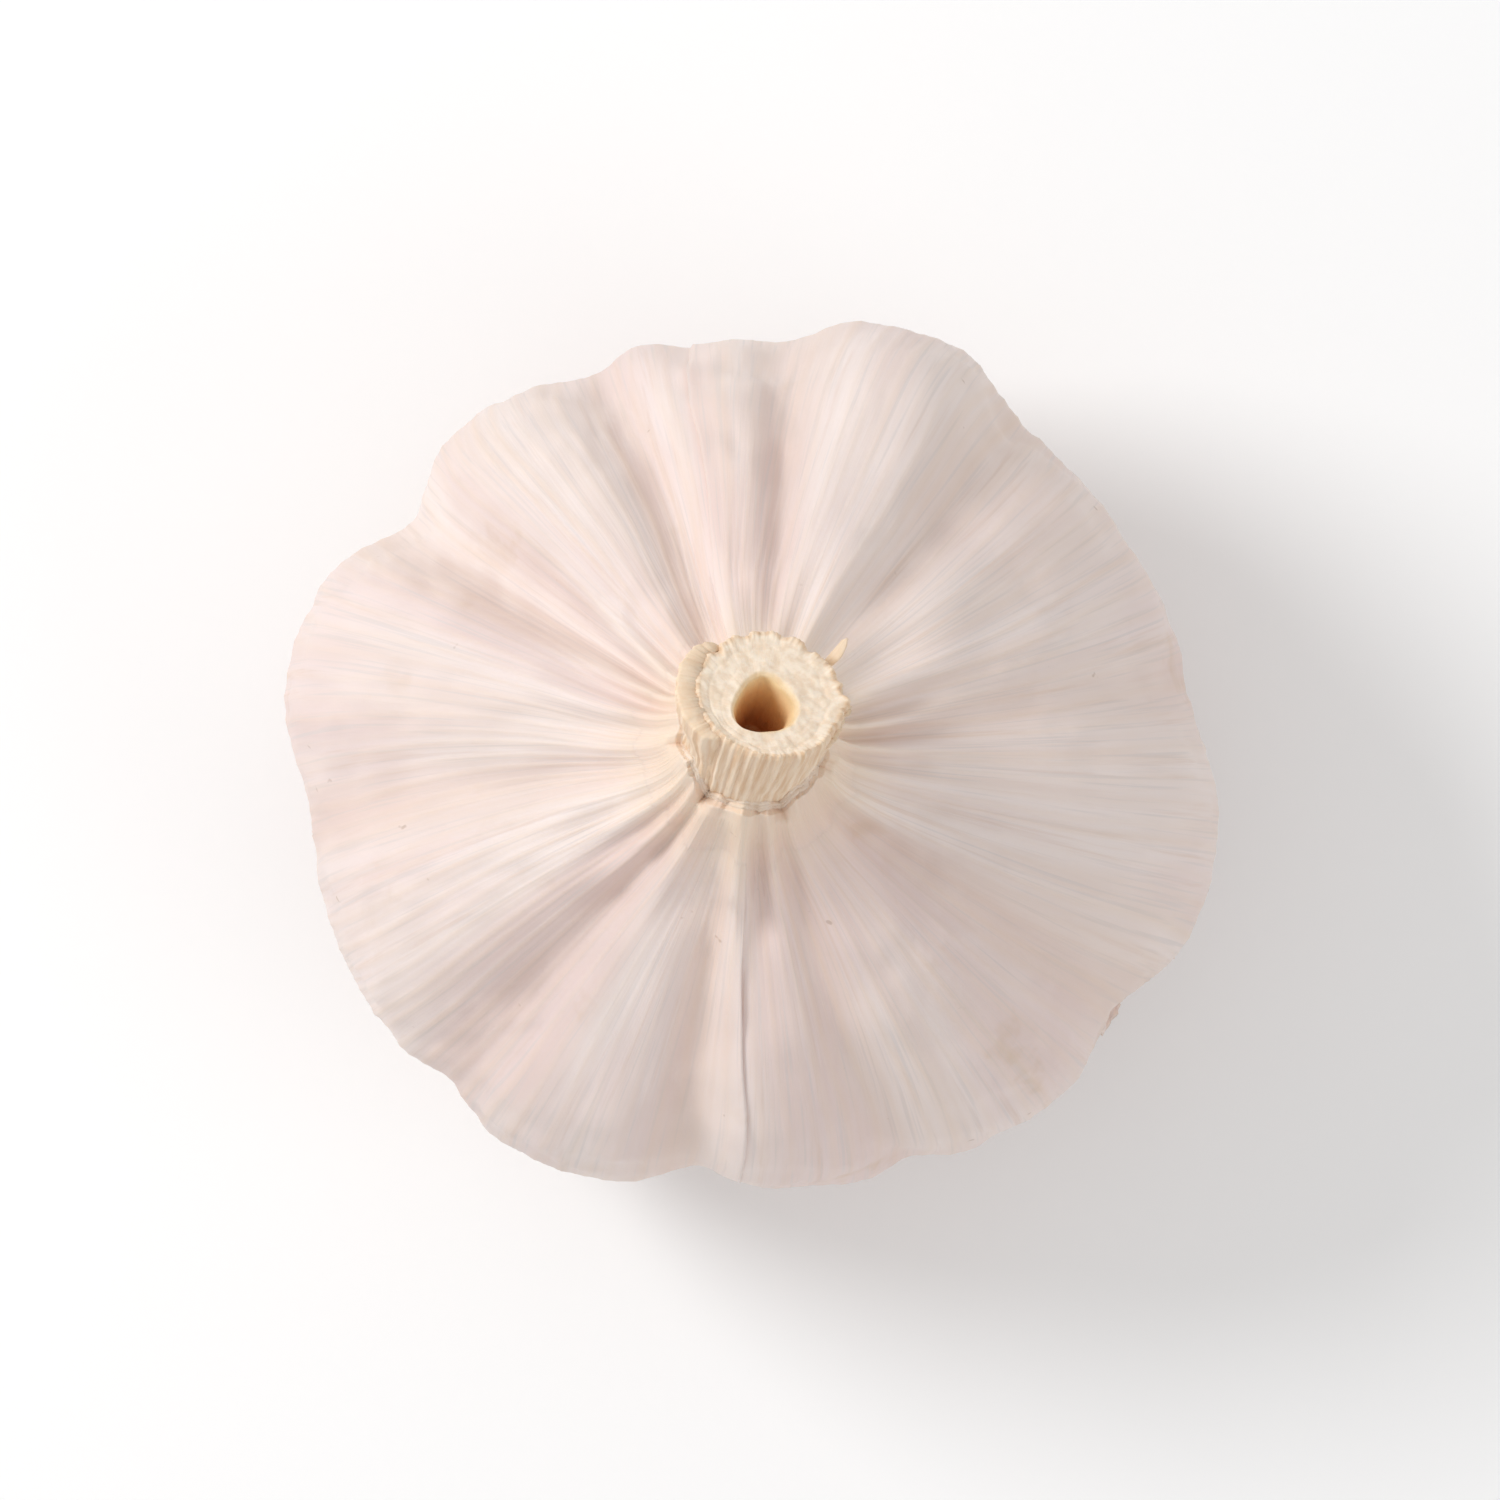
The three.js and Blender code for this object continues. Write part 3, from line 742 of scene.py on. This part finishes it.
def hole_point(angle, scale):
    """X and Y on the pith hole's edge, a rounded triangle with a corner towards +Y."""
    corners = 0.09 * np.cos(3 * (angle - math.pi / 2)) - 0.05 * np.sin(angle)
    radius = scale * PITH_HOLE_RADIUS * (1 + corners)
    x, y = 0.93 * radius * np.cos(angle), radius * np.sin(angle)
    return PITH_HOLE_PLACE[0] + x, PITH_HOLE_PLACE[1] + y + 0.13 * x


# The hole's straight wall begins this far below the cut face.
HOLE_EDGE = 0.35


def stub_side(theta, ribs, tooth, rough):
    """Rings up the ribbed side, each with the last four of the stem's facts."""
    for share in np.concatenate([np.linspace(0, 0.95, 60), np.linspace(0.955, 0.995, 9)]):
        radius = stem_radius(theta, share)
        z = mix(BEND_START, face_height(radius, theta) + tooth * smooth(0.7, 1, share), share)
        radius = radius + 0.04 * rough(polar(radius, theta, z)) - 0.14 * smooth(0.975, 1.0, share)
        yield polar(radius, theta, z), (0, 0, ribs, 1)


def stub_face(theta, ribs, tooth, rough, pits):
    """Rings over the cut face, from torn rim to hole."""
    rim = stem_radius(theta, 1.0) - 0.24
    hole_x, hole_y = hole_point(theta, 1.0)
    for step in np.linspace(0.0, 1, 34):
        x, y = mix(rim * np.cos(theta), hole_x, step), mix(rim * np.sin(theta), hole_y, step)
        level = on_cut(x, y)
        place = np.stack([x, y, level], axis=-1)
        torn = tooth * (1 - smooth(0, 0.22, step))
        layers = sum(
            depth * np.exp(-(((step - at - 0.03 * np.sin(3 * theta + 9 * at)) / 0.04) ** 2))
            for at, depth in ((0.3, 0.05), (0.62, 0.03))
        )
        dish = 0.16 * math.sin(math.pi * step) + 0.3 * smooth(0.9, 1.0, step)
        z = level + torn + 0.018 * pits(place) + 0.03 * rough(place) - layers - dish
        yield np.stack([x, y, z], axis=-1), (smooth(0, 0.1, step), 0, ribs, 1 - step)


def stub_hole(theta, rough):
    """Rings down the pith hole."""
    for step in np.linspace(0.04, 1, 26):
        x, y = hole_point(theta, mix(1.0, 0.55, step))
        z = on_cut(x, y) - HOLE_EDGE - (PITH_HOLE_DEPTH - HOLE_EDGE) * step
        bump = 1 + 0.03 * rough(np.stack([x, y, z], axis=-1))
        yield np.stack([x * bump, y * bump, z], axis=-1), (1, step, 0, 0)


def stem_stub():
    columns = 440
    theta = np.arange(columns) * TAU / columns
    rough = Ripples(71, 1.6, stretch=(1, 1, 4))
    pits = Ripples(72, 0.7)
    tooth = 0.07 * rib_wave(theta) + 0.07 * np.sin(7 * theta) + 0.06 * along_noise(73, 0.15)(theta)
    tooth = tooth * (1 - 0.7 * under_sheath(theta)) - 0.8 * rim_notches(theta)
    ribs = rib_shade(theta)
    side = stub_side(theta, ribs, tooth, rough)
    face = stub_face(theta, ribs, tooth, rough, pits)
    rings, facts = [], []
    for ring, values in (*side, *face, *stub_hole(theta, rough)):
        rings.append(bend(ring))
        facts.append([np.broadcast_to(value, columns) for value in (theta, ring[:, 2], *values)])
    bottom = STEM_TOP - PITH_HOLE_DEPTH
    end = bend(np.array([*PITH_HOLE_PLACE, bottom]))
    piece = closed_tube("stem_stub", rings, (0, 0, BEND_START), end)
    around = np.array(facts).transpose(1, 0, 2).reshape(6, -1)
    # at the points under the foot and on the hole's floor
    ends = np.array([[0, 0], [BEND_START, bottom], [0, 1], [0, 1], [0, 0], [0, 0]])
    stem_facts(piece, *np.concatenate([around, ends], axis=1))
    return piece


# Strips of leaf sheath on the stem: middle and half width in radians, how thick each lies on it, how
# far it stands off at the cut, where up the stem it starts to, and how far below the cut it ends.
STEM_SHEATHS = [
    {
        "name": "stem_sheath_left",
        "middle": LEFT_SHEATH_ANGLE,
        "half": 0.86,
        "lip": 0.32,
        "stand": SHEATH_STEP,
        "starts": (0.42, 0.85),
        "short": 0.12,
        "seed": 310,
    },
    {
        "name": "stem_sheath_right",
        "middle": 6.15,
        "half": 0.55,
        "lip": 0.14,
        "stand": 0.2,
        "starts": (0.2, 0.8),
        "short": 1.3,
        "seed": 615,
    },
]
# A sheath's inner face lies this deep in the stem, and its side edges come down to this.
SHEATH_SUNK = 0.3
SHEATH_EDGE_SUNK = 0.04


def stem_sheath(name, middle, half, lip, stand, starts, short, seed):
    u, v = sheet_grid(120, 60, first=-1)
    angle = middle + half * u * (1 - 0.05 * np.abs(along_noise(seed, 0.3)(v)))
    ragged = 0.1 * along_noise(seed + 1, 0.5)(angle) + 0.03 * along_noise(seed + 2, 0.08)(angle)
    base = stem_radius(angle, v, 0.5) + rim_notches(angle) * smooth(0.9, 1, v)
    top = face_height(base, angle) - short + ragged - 0.3 * np.abs(u) ** 5
    height = mix(BEND_START + 0.3, top, 1 - (1 - v) ** 1.5)
    rise = smooth(*starts, v)
    side = (1 - np.abs(u) ** 3) ** 0.8
    edge = 1 - np.abs(u) ** 14
    waves = 0.02 * fine_rib_wave(angle) + 0.02 * along_noise(seed + 3, 0.12)(angle)
    rounding = mix(0.72, 1, rounded_end(top - height, 0.4))
    opened = (stand + SHEATH_EDGE_SUNK - lip) * rise * side * rounding
    outward = (lip + waves) * edge - SHEATH_EDGE_SUNK + opened
    outer = bend(polar(base + outward, angle, height))
    inner = bend(polar(base - SHEATH_SUNK, angle, height))
    piece = sheet(name, outer, inner)
    zone = 0.75 * smooth(0.93, 1, v)
    stem_facts(piece, *both_faces(u.shape, angle, height, zone, 0, rib_shade(angle), 1))
    return piece


def curve_tube(middles, radii, sides):
    """Rings round a line of points, each square to the line."""
    along = np.gradient(middles, axis=0)
    along /= np.linalg.norm(along, axis=1)[:, None]
    across = np.cross(along, (0.3, 0.2, 1.0))
    across /= np.linalg.norm(across, axis=1)[:, None]
    third = np.cross(along, across)
    turn = np.arange(sides) * TAU / sides
    offsets = across[:, None] * np.cos(turn)[:, None] + third[:, None] * np.sin(turn)[:, None]
    return middles[:, None] + offsets * radii[:, None, None]


# The sliver's path up the stem: how far out from STEM_RADIUS, and how far below the cut's middle.
SPLINTER_PATH = np.array([(-1, 4.6), (-0.1, 3.2), (1.1, 2.0), (2.1, 1.3)])
SPLINTER_ANGLE = math.radians(38)


def splinter():
    """A flat sliver of the stem that has split away from the cut rim."""
    angle = SPLINTER_ANGLE
    out, below = SPLINTER_PATH.T
    knots = polar(STEM_RADIUS + out, angle + np.array([0, 0, 0, 0.05]), STEM_TOP - below)
    steps, columns = 30, 13
    t = np.linspace(0, 3, steps)
    path = [np.pad(np.interp(t, np.arange(4), knots[:, k]), 3, mode="edge") for k in range(3)]
    kernel = np.ones(7) / 7  # it rounds the path's corners
    middles = np.stack([np.convolve(line, kernel, mode="valid") for line in path], axis=-1)
    u = np.linspace(-1, 1, columns)[None, :]
    side = np.array([-math.sin(angle), math.cos(angle), 0])
    along = np.gradient(middles, axis=0)
    face = np.cross(side, along)
    face /= np.linalg.norm(face, axis=1)[:, None]
    half_width = (0.38 - 0.1 * t / 3 + 0.04 * np.sin(4 * t))[:, None] * np.ones_like(u)
    half_width = half_width - 0.22 * smooth(2.6, 3.0, t)[:, None] * np.abs(u)
    thickness = (0.2 - 0.03 * t / 3)[:, None] * (1 - 0.5 * u**4)
    flat = middles[:, None, :] + side * (half_width * u)[..., None]
    off = face[:, None, :] * (thickness / 2)[..., None]
    piece = sheet("stem_splinter", bend(flat + off), bend(flat - off))
    facts = angle + 0.12 * u, middles[:, 2, None], 0.7, 0, 0, 1
    stem_facts(piece, *both_faces((steps, columns), *facts))
    return piece


# ---- The root plate and the roots ----
# The underside of the plate, hollowed a little so that the roots cover it: radius and height.
DISC_PROFILE = np.array(
    [
        (0.8, 1.5),
        (REST_SPOT_RADIUS - 0.8, 1.2),
        (REST_SPOT_RADIUS + 0.6, 1.3),
        (ROOT_PLATE_RADIUS * 0.86, 2.5),
        (ROOT_PLATE_RADIUS, 3.6),
        (ROOT_PLATE_RADIUS, RECESS_HEIGHT),
    ]
)


def root_disc():
    columns = 96
    theta = np.arange(columns) * TAU / columns
    steps = np.linspace(0, len(DISC_PROFILE) - 1, 40)
    knots = np.arange(len(DISC_PROFILE))
    r, z = (np.interp(steps, knots, DISC_PROFILE[:, k])[:, None] for k in (0, 1))
    lumps = Ripples(81, 1.5)(polar(r, theta, z))
    relief = 0.3 * lumps * (1 - smooth(4.6, 5.2, z))
    rings = polar(r + 0.5 * relief, theta, z + relief * (r < ROOT_PLATE_RADIUS - 0.5))
    piece = closed_tube("root_disc", rings, (0, 0, DISC_PROFILE[0, 1]), (0, 0, RECESS_HEIGHT))
    # The plate takes the roots' darkest colour: painted shade in the gaps between them.
    for name in ("tint", "out"):
        give(piece, name, np.zeros(len(piece.data.vertices)))
    return piece


# Thick stubs, then the fine wisps between them: how many, how many sides, least and most radius, curl.
ROOT_KINDS = [
    {"name": "root_stubs", "total": 950, "sides": 5, "radii": (0.15, 0.33), "curl": 0.55, "seed": 91},
    {"name": "root_wisps", "total": 800, "sides": 3, "radii": (0.05, 0.11), "curl": 1.1, "seed": 92},
]
ROOT_STEPS = 12  # points along each root
ROOT_TURN = 2.399963  # the golden angle, from one root to the next round the plate
ROOT_REACH = 11.9  # how far out the longest roots end
ROOT_CEILING = 3.0  # how high they may be under the cloves, outside the plate


def root_path(rng, index, curl):
    """One root's middle line: it leaves the plate, drops towards the floor and curls over it."""
    t = np.linspace(0, 1, ROOT_STEPS)
    level = math.sqrt(rng.uniform(0, 1))
    angle = index * ROOT_TURN + rng.normal(0, 0.1)
    start = level * (ROOT_PLATE_RADIUS - 0.4)
    height = np.interp(start, DISC_PROFILE[:, 0], DISC_PROFILE[:, 1]) + 0.1
    outward = smooth(0.35, 0.9, level)
    heading = angle + rng.normal(0, mix(1.5, 0.4, outward))
    drift, sway = rng.normal(0, 1.3), rng.normal(0, 0.8)
    turns = curl * (drift * t + sway * np.sin(rng.uniform(4, 9) * t + rng.uniform(0, TAU)))
    length = rng.uniform(1.6, mix(3.4, 5.4, outward))
    step = length / (ROOT_STEPS - 1)
    x = start * math.cos(angle) + step * np.cumsum(np.cos(heading + turns))
    y = start * math.sin(angle) + step * np.cumsum(np.sin(heading + turns))
    tip = rng.uniform(0.1, mix(0.7, 2.9, level * level))
    wave = 0.3 * rng.normal() * np.sin(rng.uniform(3, 8) * t + rng.uniform(0, TAU)) * t
    z = mix(height, tip, smooth(0, 0.7, t)) + wave
    radius = np.hypot(x, y)
    limit = ROOT_REACH * rng.uniform(0.84, 1.04)
    inside = np.minimum(1, limit / np.maximum(radius, 1e-6))
    z = np.where(radius > ROOT_PLATE_RADIUS - 0.5, np.minimum(z, ROOT_CEILING), z)
    return np.stack([x * inside, y * inside, z], axis=-1), t


def roots(name, total, sides, radii, curl, seed):
    rng = np.random.default_rng(seed)
    per_root = sides * ROOT_STEPS + 2
    points, faces, tints, outs = [], [], [], []
    for index in range(total):
        middles, t = root_path(rng, index, curl)
        radius = rng.uniform(*radii) * mix(1.0, rng.uniform(0.45, 0.85), t)
        middles[:, 2] = np.maximum(middles[:, 2], radius + 0.02)
        rings = curve_tube(middles, radius, sides)
        rings[..., 2] = np.maximum(rings[..., 2], 0.01)
        points.append(np.concatenate([rings.reshape(-1, 3), middles[[0, -1]]]))
        faces += tube_faces(ROOT_STEPS, sides, offset=index * per_root)
        tints.append(np.full(per_root, rng.uniform(0, 1)))
        outs.append(np.append(np.repeat(t, sides), (0, 1)))
    piece = new_mesh(name, np.concatenate(points), faces)
    give(piece, "tint", np.concatenate(tints))
    give(piece, "out", np.concatenate(outs))
    return piece


# ---- Materials ----
class Shader:
    """A material built by code: each call adds a node and returns its output socket."""

    def __init__(self, name):
        self.material = bpy.data.materials.new(name)
        self.material.use_nodes = True
        self.tree = self.material.node_tree
        self.surface = self.tree.nodes["Principled BSDF"]

    def plug(self, socket, value):
        if isinstance(value, bpy.types.NodeSocket):
            self.tree.links.new(value, socket)
        elif isinstance(value, tuple) and len(value) == 3 and len(socket.default_value) == 4:
            socket.default_value = (*value, 1)
        else:
            socket.default_value = value

    def add(self, kind, output, inputs, **settings):
        node = self.tree.nodes.new(kind)
        for key, value in settings.items():
            setattr(node, key, value)
        for key, value in inputs.items():
            self.plug(node.inputs[key], value)
        return node.outputs[output]

    def fact(self, name, output="Fac"):
        """What give() has stored on the mesh under a name."""
        return self.add("ShaderNodeAttribute", output, {}, attribute_name=name)

    def place(self):
        return self.add("ShaderNodeTexCoord", "Object", {})

    def noise(self, vector, scale, detail, roughness):
        inputs = {"Vector": vector, "Scale": scale, "Detail": detail, "Roughness": roughness}
        return self.add("ShaderNodeTexNoise", "Fac", inputs)

    def streaks(self, grain, around, along, detail, roughness):
        """Noise drawn out along the grain, by its scales around and along it."""
        inputs = {"Vector": grain, "Scale": (around, around, along)}
        vector = self.add("ShaderNodeMapping", "Vector", inputs)
        return self.noise(vector, 1.0, detail, roughness)

    def spread(self, value, low, high, to_low=0.0, to_high=1.0):
        """Maps low..high of a value to to_low..to_high, eased and held at the ends."""
        inputs = {"Value": value, "From Min": low, "From Max": high}
        inputs |= {"To Min": to_low, "To Max": to_high}
        return self.add("ShaderNodeMapRange", "Result", inputs, interpolation_type="SMOOTHSTEP")

    def math(self, operation, *values):
        return self.add("ShaderNodeMath", 0, dict(enumerate(values)), operation=operation)

    def blend(self, share, first, second):
        """Mixes two colours, the Mix node's inputs 6 and 7."""
        return self.add("ShaderNodeMix", 2, {0: share, 6: first, 7: second}, data_type="RGBA")

    def lay(self, color, share, amount, other):
        """Lays another colour over one, by a share times an amount."""
        return self.blend(self.math("MULTIPLY", share, amount), color, other)

    def bump(self, height, strength, distance, normal=None):
        inputs = {"Height": height, "Strength": strength, "Distance": distance}
        if normal is not None:
            inputs["Normal"] = normal
        return self.add("ShaderNodeBump", "Normal", inputs)

    def finish(self, **inputs):
        for key, value in inputs.items():
            self.plug(self.surface.inputs[key.replace("_", " ")], value)
        return self.material


def srgb(red, green, blue):
    """A colour given as 0 to 255 in sRGB, for a shader."""
    values = (red / 255, green / 255, blue / 255)
    return tuple(v / 12.92 if v <= 0.04045 else ((v + 0.055) / 1.055) ** 2.4 for v in values)


def skin_material(name, cream, blush, shine):
    s = Shader(name)
    grain = s.fact("grain", "Vector")
    vein, groove, along = s.fact("vein"), s.fact("groove"), s.fact("along")
    fine = s.streaks(grain, 34, 1.6, 4, 0.6)
    hairline = s.streaks(grain, 85, 2.4, 2, 0.5)
    broad = s.streaks(grain, 9, 0.9, 3, 0.5)
    wide = s.streaks(grain, 2.6, 0.8, 2, 0.5)
    blot = s.noise(s.place(), 130, 4, 0.6)
    color = s.blend(s.spread(broad, 0.35, 0.7), cream, srgb(233, 213, 203))
    color = s.lay(color, s.spread(wide, 0.4, 0.66), blush, srgb(224, 193, 189))
    streak = s.math("MULTIPLY", s.spread(fine, 0.52, 0.72), s.spread(broad, 0.62, 0.4))
    color = s.lay(color, streak, 0.5, srgb(219, 191, 174))
    color = s.blend(s.spread(hairline, 0.52, 0.7, 0.0, 0.45), color, srgb(214, 202, 198))
    color = s.lay(color, vein, 0.42, srgb(226, 200, 180))
    # Painted shade: the skin darkens to tan in the grooves between the cloves.
    color = s.lay(color, groove, 0.22, srgb(220, 188, 170))
    stain = s.math("MULTIPLY", s.spread(blot, 0.6, 0.72), s.spread(wide, 0.4, 0.6))
    color = s.lay(color, stain, 0.25, srgb(200, 162, 112))
    foot = s.spread(s.math("ADD", along, s.math("MULTIPLY", broad, 0.06)), 0.14, 0.03)
    color = s.lay(color, foot, 0.75, srgb(168, 124, 82))
    neck = s.spread(along, 0.84, 1.0)
    color = s.lay(color, neck, 0.5, srgb(232, 208, 174))
    speck = s.spread(s.noise(s.place(), 700, 2, 0.5), 0.75, 0.8)
    color = s.lay(color, speck, 0.35, srgb(150, 112, 76))
    rough = s.spread(fine, 0.3, 0.8, shine, shine + 0.18)
    hair = s.bump(fine, 0.35, 0.00012)
    normal = s.bump(s.noise(s.place(), 420, 3, 0.6), 0.22, 0.0001, hair)
    return s.finish(
        Base_Color=color,
        Roughness=rough,
        Normal=normal,
        Subsurface_Weight=0.15,
        Subsurface_Radius=(1.0, 0.7, 0.5),
        Subsurface_Scale=0.0012,
        Specular_IOR_Level=0.45,
    )


def stem_material():
    s = Shader("stem_fibre")
    grain = s.fact("grain", "Vector")
    zone, depth, rib, ring = (s.fact(name) for name in ("zone", "depth", "rib", "ring"))
    streak = s.streaks(grain, 16, 0.9, 4, 0.6)
    pith = s.noise(s.place(), 1500, 3, 0.6)
    side = s.blend(s.spread(streak, 0.35, 0.7), srgb(237, 215, 190), srgb(220, 187, 152))
    # Painted shade: the stem's side is darker between the ribs.
    side = s.blend(s.spread(rib, 0.2, -0.9, 0.0, 0.4), side, srgb(206, 164, 126))
    face = s.blend(s.spread(pith, 0.35, 0.65), srgb(243, 227, 207), srgb(234, 212, 187))
    face = s.blend(s.spread(ring, 0.16, 0.0, 0.0, 0.6), face, srgb(234, 200, 142))
    # Painted shade: a darker band round the torn rim of the cut face.
    face = s.blend(s.spread(ring, 0.93, 1.0, 0.0, 0.35), face, srgb(224, 190, 150))
    color = s.blend(zone, side, face)
    # The pith hole's own tan, painted darker deeper down the hole as painted shade.
    inside = s.blend(s.spread(depth, 0.0, 0.3), srgb(246, 221, 176), srgb(244, 205, 154))
    inside = s.blend(s.spread(depth, 0.2, 1.0), inside, srgb(233, 172, 120))
    color = s.blend(s.spread(depth, 0.0, 0.04), color, inside)
    normal = s.bump(streak, 0.4, 0.0001)
    normal = s.bump(pith, 0.3, 0.00008, normal)
    return s.finish(
        Base_Color=color,
        Roughness=0.68,
        Normal=normal,
        Subsurface_Weight=0.1,
        Subsurface_Radius=(1.0, 0.75, 0.5),
        Subsurface_Scale=0.001,
    )


def root_material():
    s = Shader("dry_root")
    tint, out = s.fact("tint"), s.fact("out")
    fibre = s.noise(s.place(), 1200, 3, 0.6)
    color = s.blend(s.spread(tint, 0.1, 0.6), srgb(118, 76, 46), srgb(190, 140, 92))
    color = s.blend(s.spread(tint, 0.5, 1.0), color, srgb(226, 190, 138))
    # Painted shade: each root darkens towards its start at the plate, where the roots crowd.
    color = s.blend(s.spread(out, 0.5, 0.0, 0.0, 0.6), color, srgb(92, 60, 38))
    color = s.blend(s.spread(fibre, 0.45, 0.75, 0.0, 0.4), color, srgb(104, 70, 42))
    return s.finish(Base_Color=color, Roughness=0.85, Normal=s.bump(fibre, 0.5, 0.00015))


inner_skin = skin_material("inner_skin", srgb(238, 221, 214), 0.6, 0.42)
outer_papery = skin_material("outer_papery_skin", srgb(240, 224, 217), 0.45, 0.5)
stem_fibre = stem_material()
dry_root = root_material()

dress(skin_body(), "bulb", inner_skin)
for number, facts in enumerate(NECK_SHEATHS, 1):
    dress(neck_sheath(number, **facts), "bulb", outer_papery)
for facts in OUTER_SKINS:
    dress(outer_skin(**facts), "bulb", outer_papery)
for number, facts in enumerate(FLAPS, 1):
    dress(flap(number, **facts), "bulb", outer_papery)
dress(stem_stub(), "stem", stem_fibre)
for facts in STEM_SHEATHS:
    dress(stem_sheath(**facts), "stem", stem_fibre)
dress(splinter(), "stem", stem_fibre)
dress(root_disc(), "root_plate", dry_root)
for facts in ROOT_KINDS:
    dress(roots(**facts), "root_plate", dry_root)


# ---- Floor, light and camera ----
FLOOR_HALF_WIDTH = 1200
# Places and sizes in metres, power in watts.
LIGHTS = [
    {"name": "key", "place": (-0.40, 0.20, 0.42), "size": 0.26, "power": 1.85},
    {"name": "fill", "place": (0.45, -0.25, 0.40), "size": 0.5, "power": 0.45},
]
LIGHT_TARGET = (0, 0, 0.025)
WORLD_STRENGTH = 0.665
CAMERA_HEIGHT = 1.5
LENS_MM, SENSOR_MM = 550, 36


def floor():
    size = FLOOR_HALF_WIDTH
    points = [(-size, -size, 0), (size, -size, 0), (size, size, 0), (-size, size, 0)]
    plane = new_mesh("floor", points, [(0, 1, 2, 3)])
    s = Shader("floor_white")
    tone = s.noise(s.place(), 3.0, 2, 0.5)
    color = s.blend(tone, (0.94, 0.94, 0.94), (0.95, 0.95, 0.95))
    plane.data.materials.append(s.finish(Base_Color=color, Roughness=0.9))


def soft_light(name, place, size, power):
    data = bpy.data.lights.new(name, "AREA")
    data.shape, data.size, data.energy = "DISK", size, power
    light = bpy.data.objects.new(name, data)
    light.location = place
    aim = Vector(LIGHT_TARGET) - Vector(place)
    light.rotation_euler = aim.to_track_quat("-Z", "Y").to_euler()
    bpy.context.scene.collection.objects.link(light)


def white_world():
    world = bpy.data.worlds.new("studio")
    world.use_nodes = True
    background = world.node_tree.nodes["Background"]
    background.inputs["Color"].default_value = (1.0, 1.0, 1.0, 1)
    background.inputs["Strength"].default_value = WORLD_STRENGTH
    bpy.context.scene.world = world


def camera():
    """Unturned, the camera looks straight down."""
    data = bpy.data.cameras.new("camera")
    data.lens, data.sensor_width = LENS_MM, SENSOR_MM
    data.clip_start, data.clip_end = 0.01, 10
    eye = bpy.data.objects.new("camera", data)
    eye.location = (0.0, 0.0, CAMERA_HEIGHT)
    bpy.context.scene.collection.objects.link(eye)
    bpy.context.scene.camera = eye


floor()
for facts in LIGHTS:
    soft_light(**facts)
white_world()
bpy.context.scene.view_settings.view_transform = "Standard"
camera()
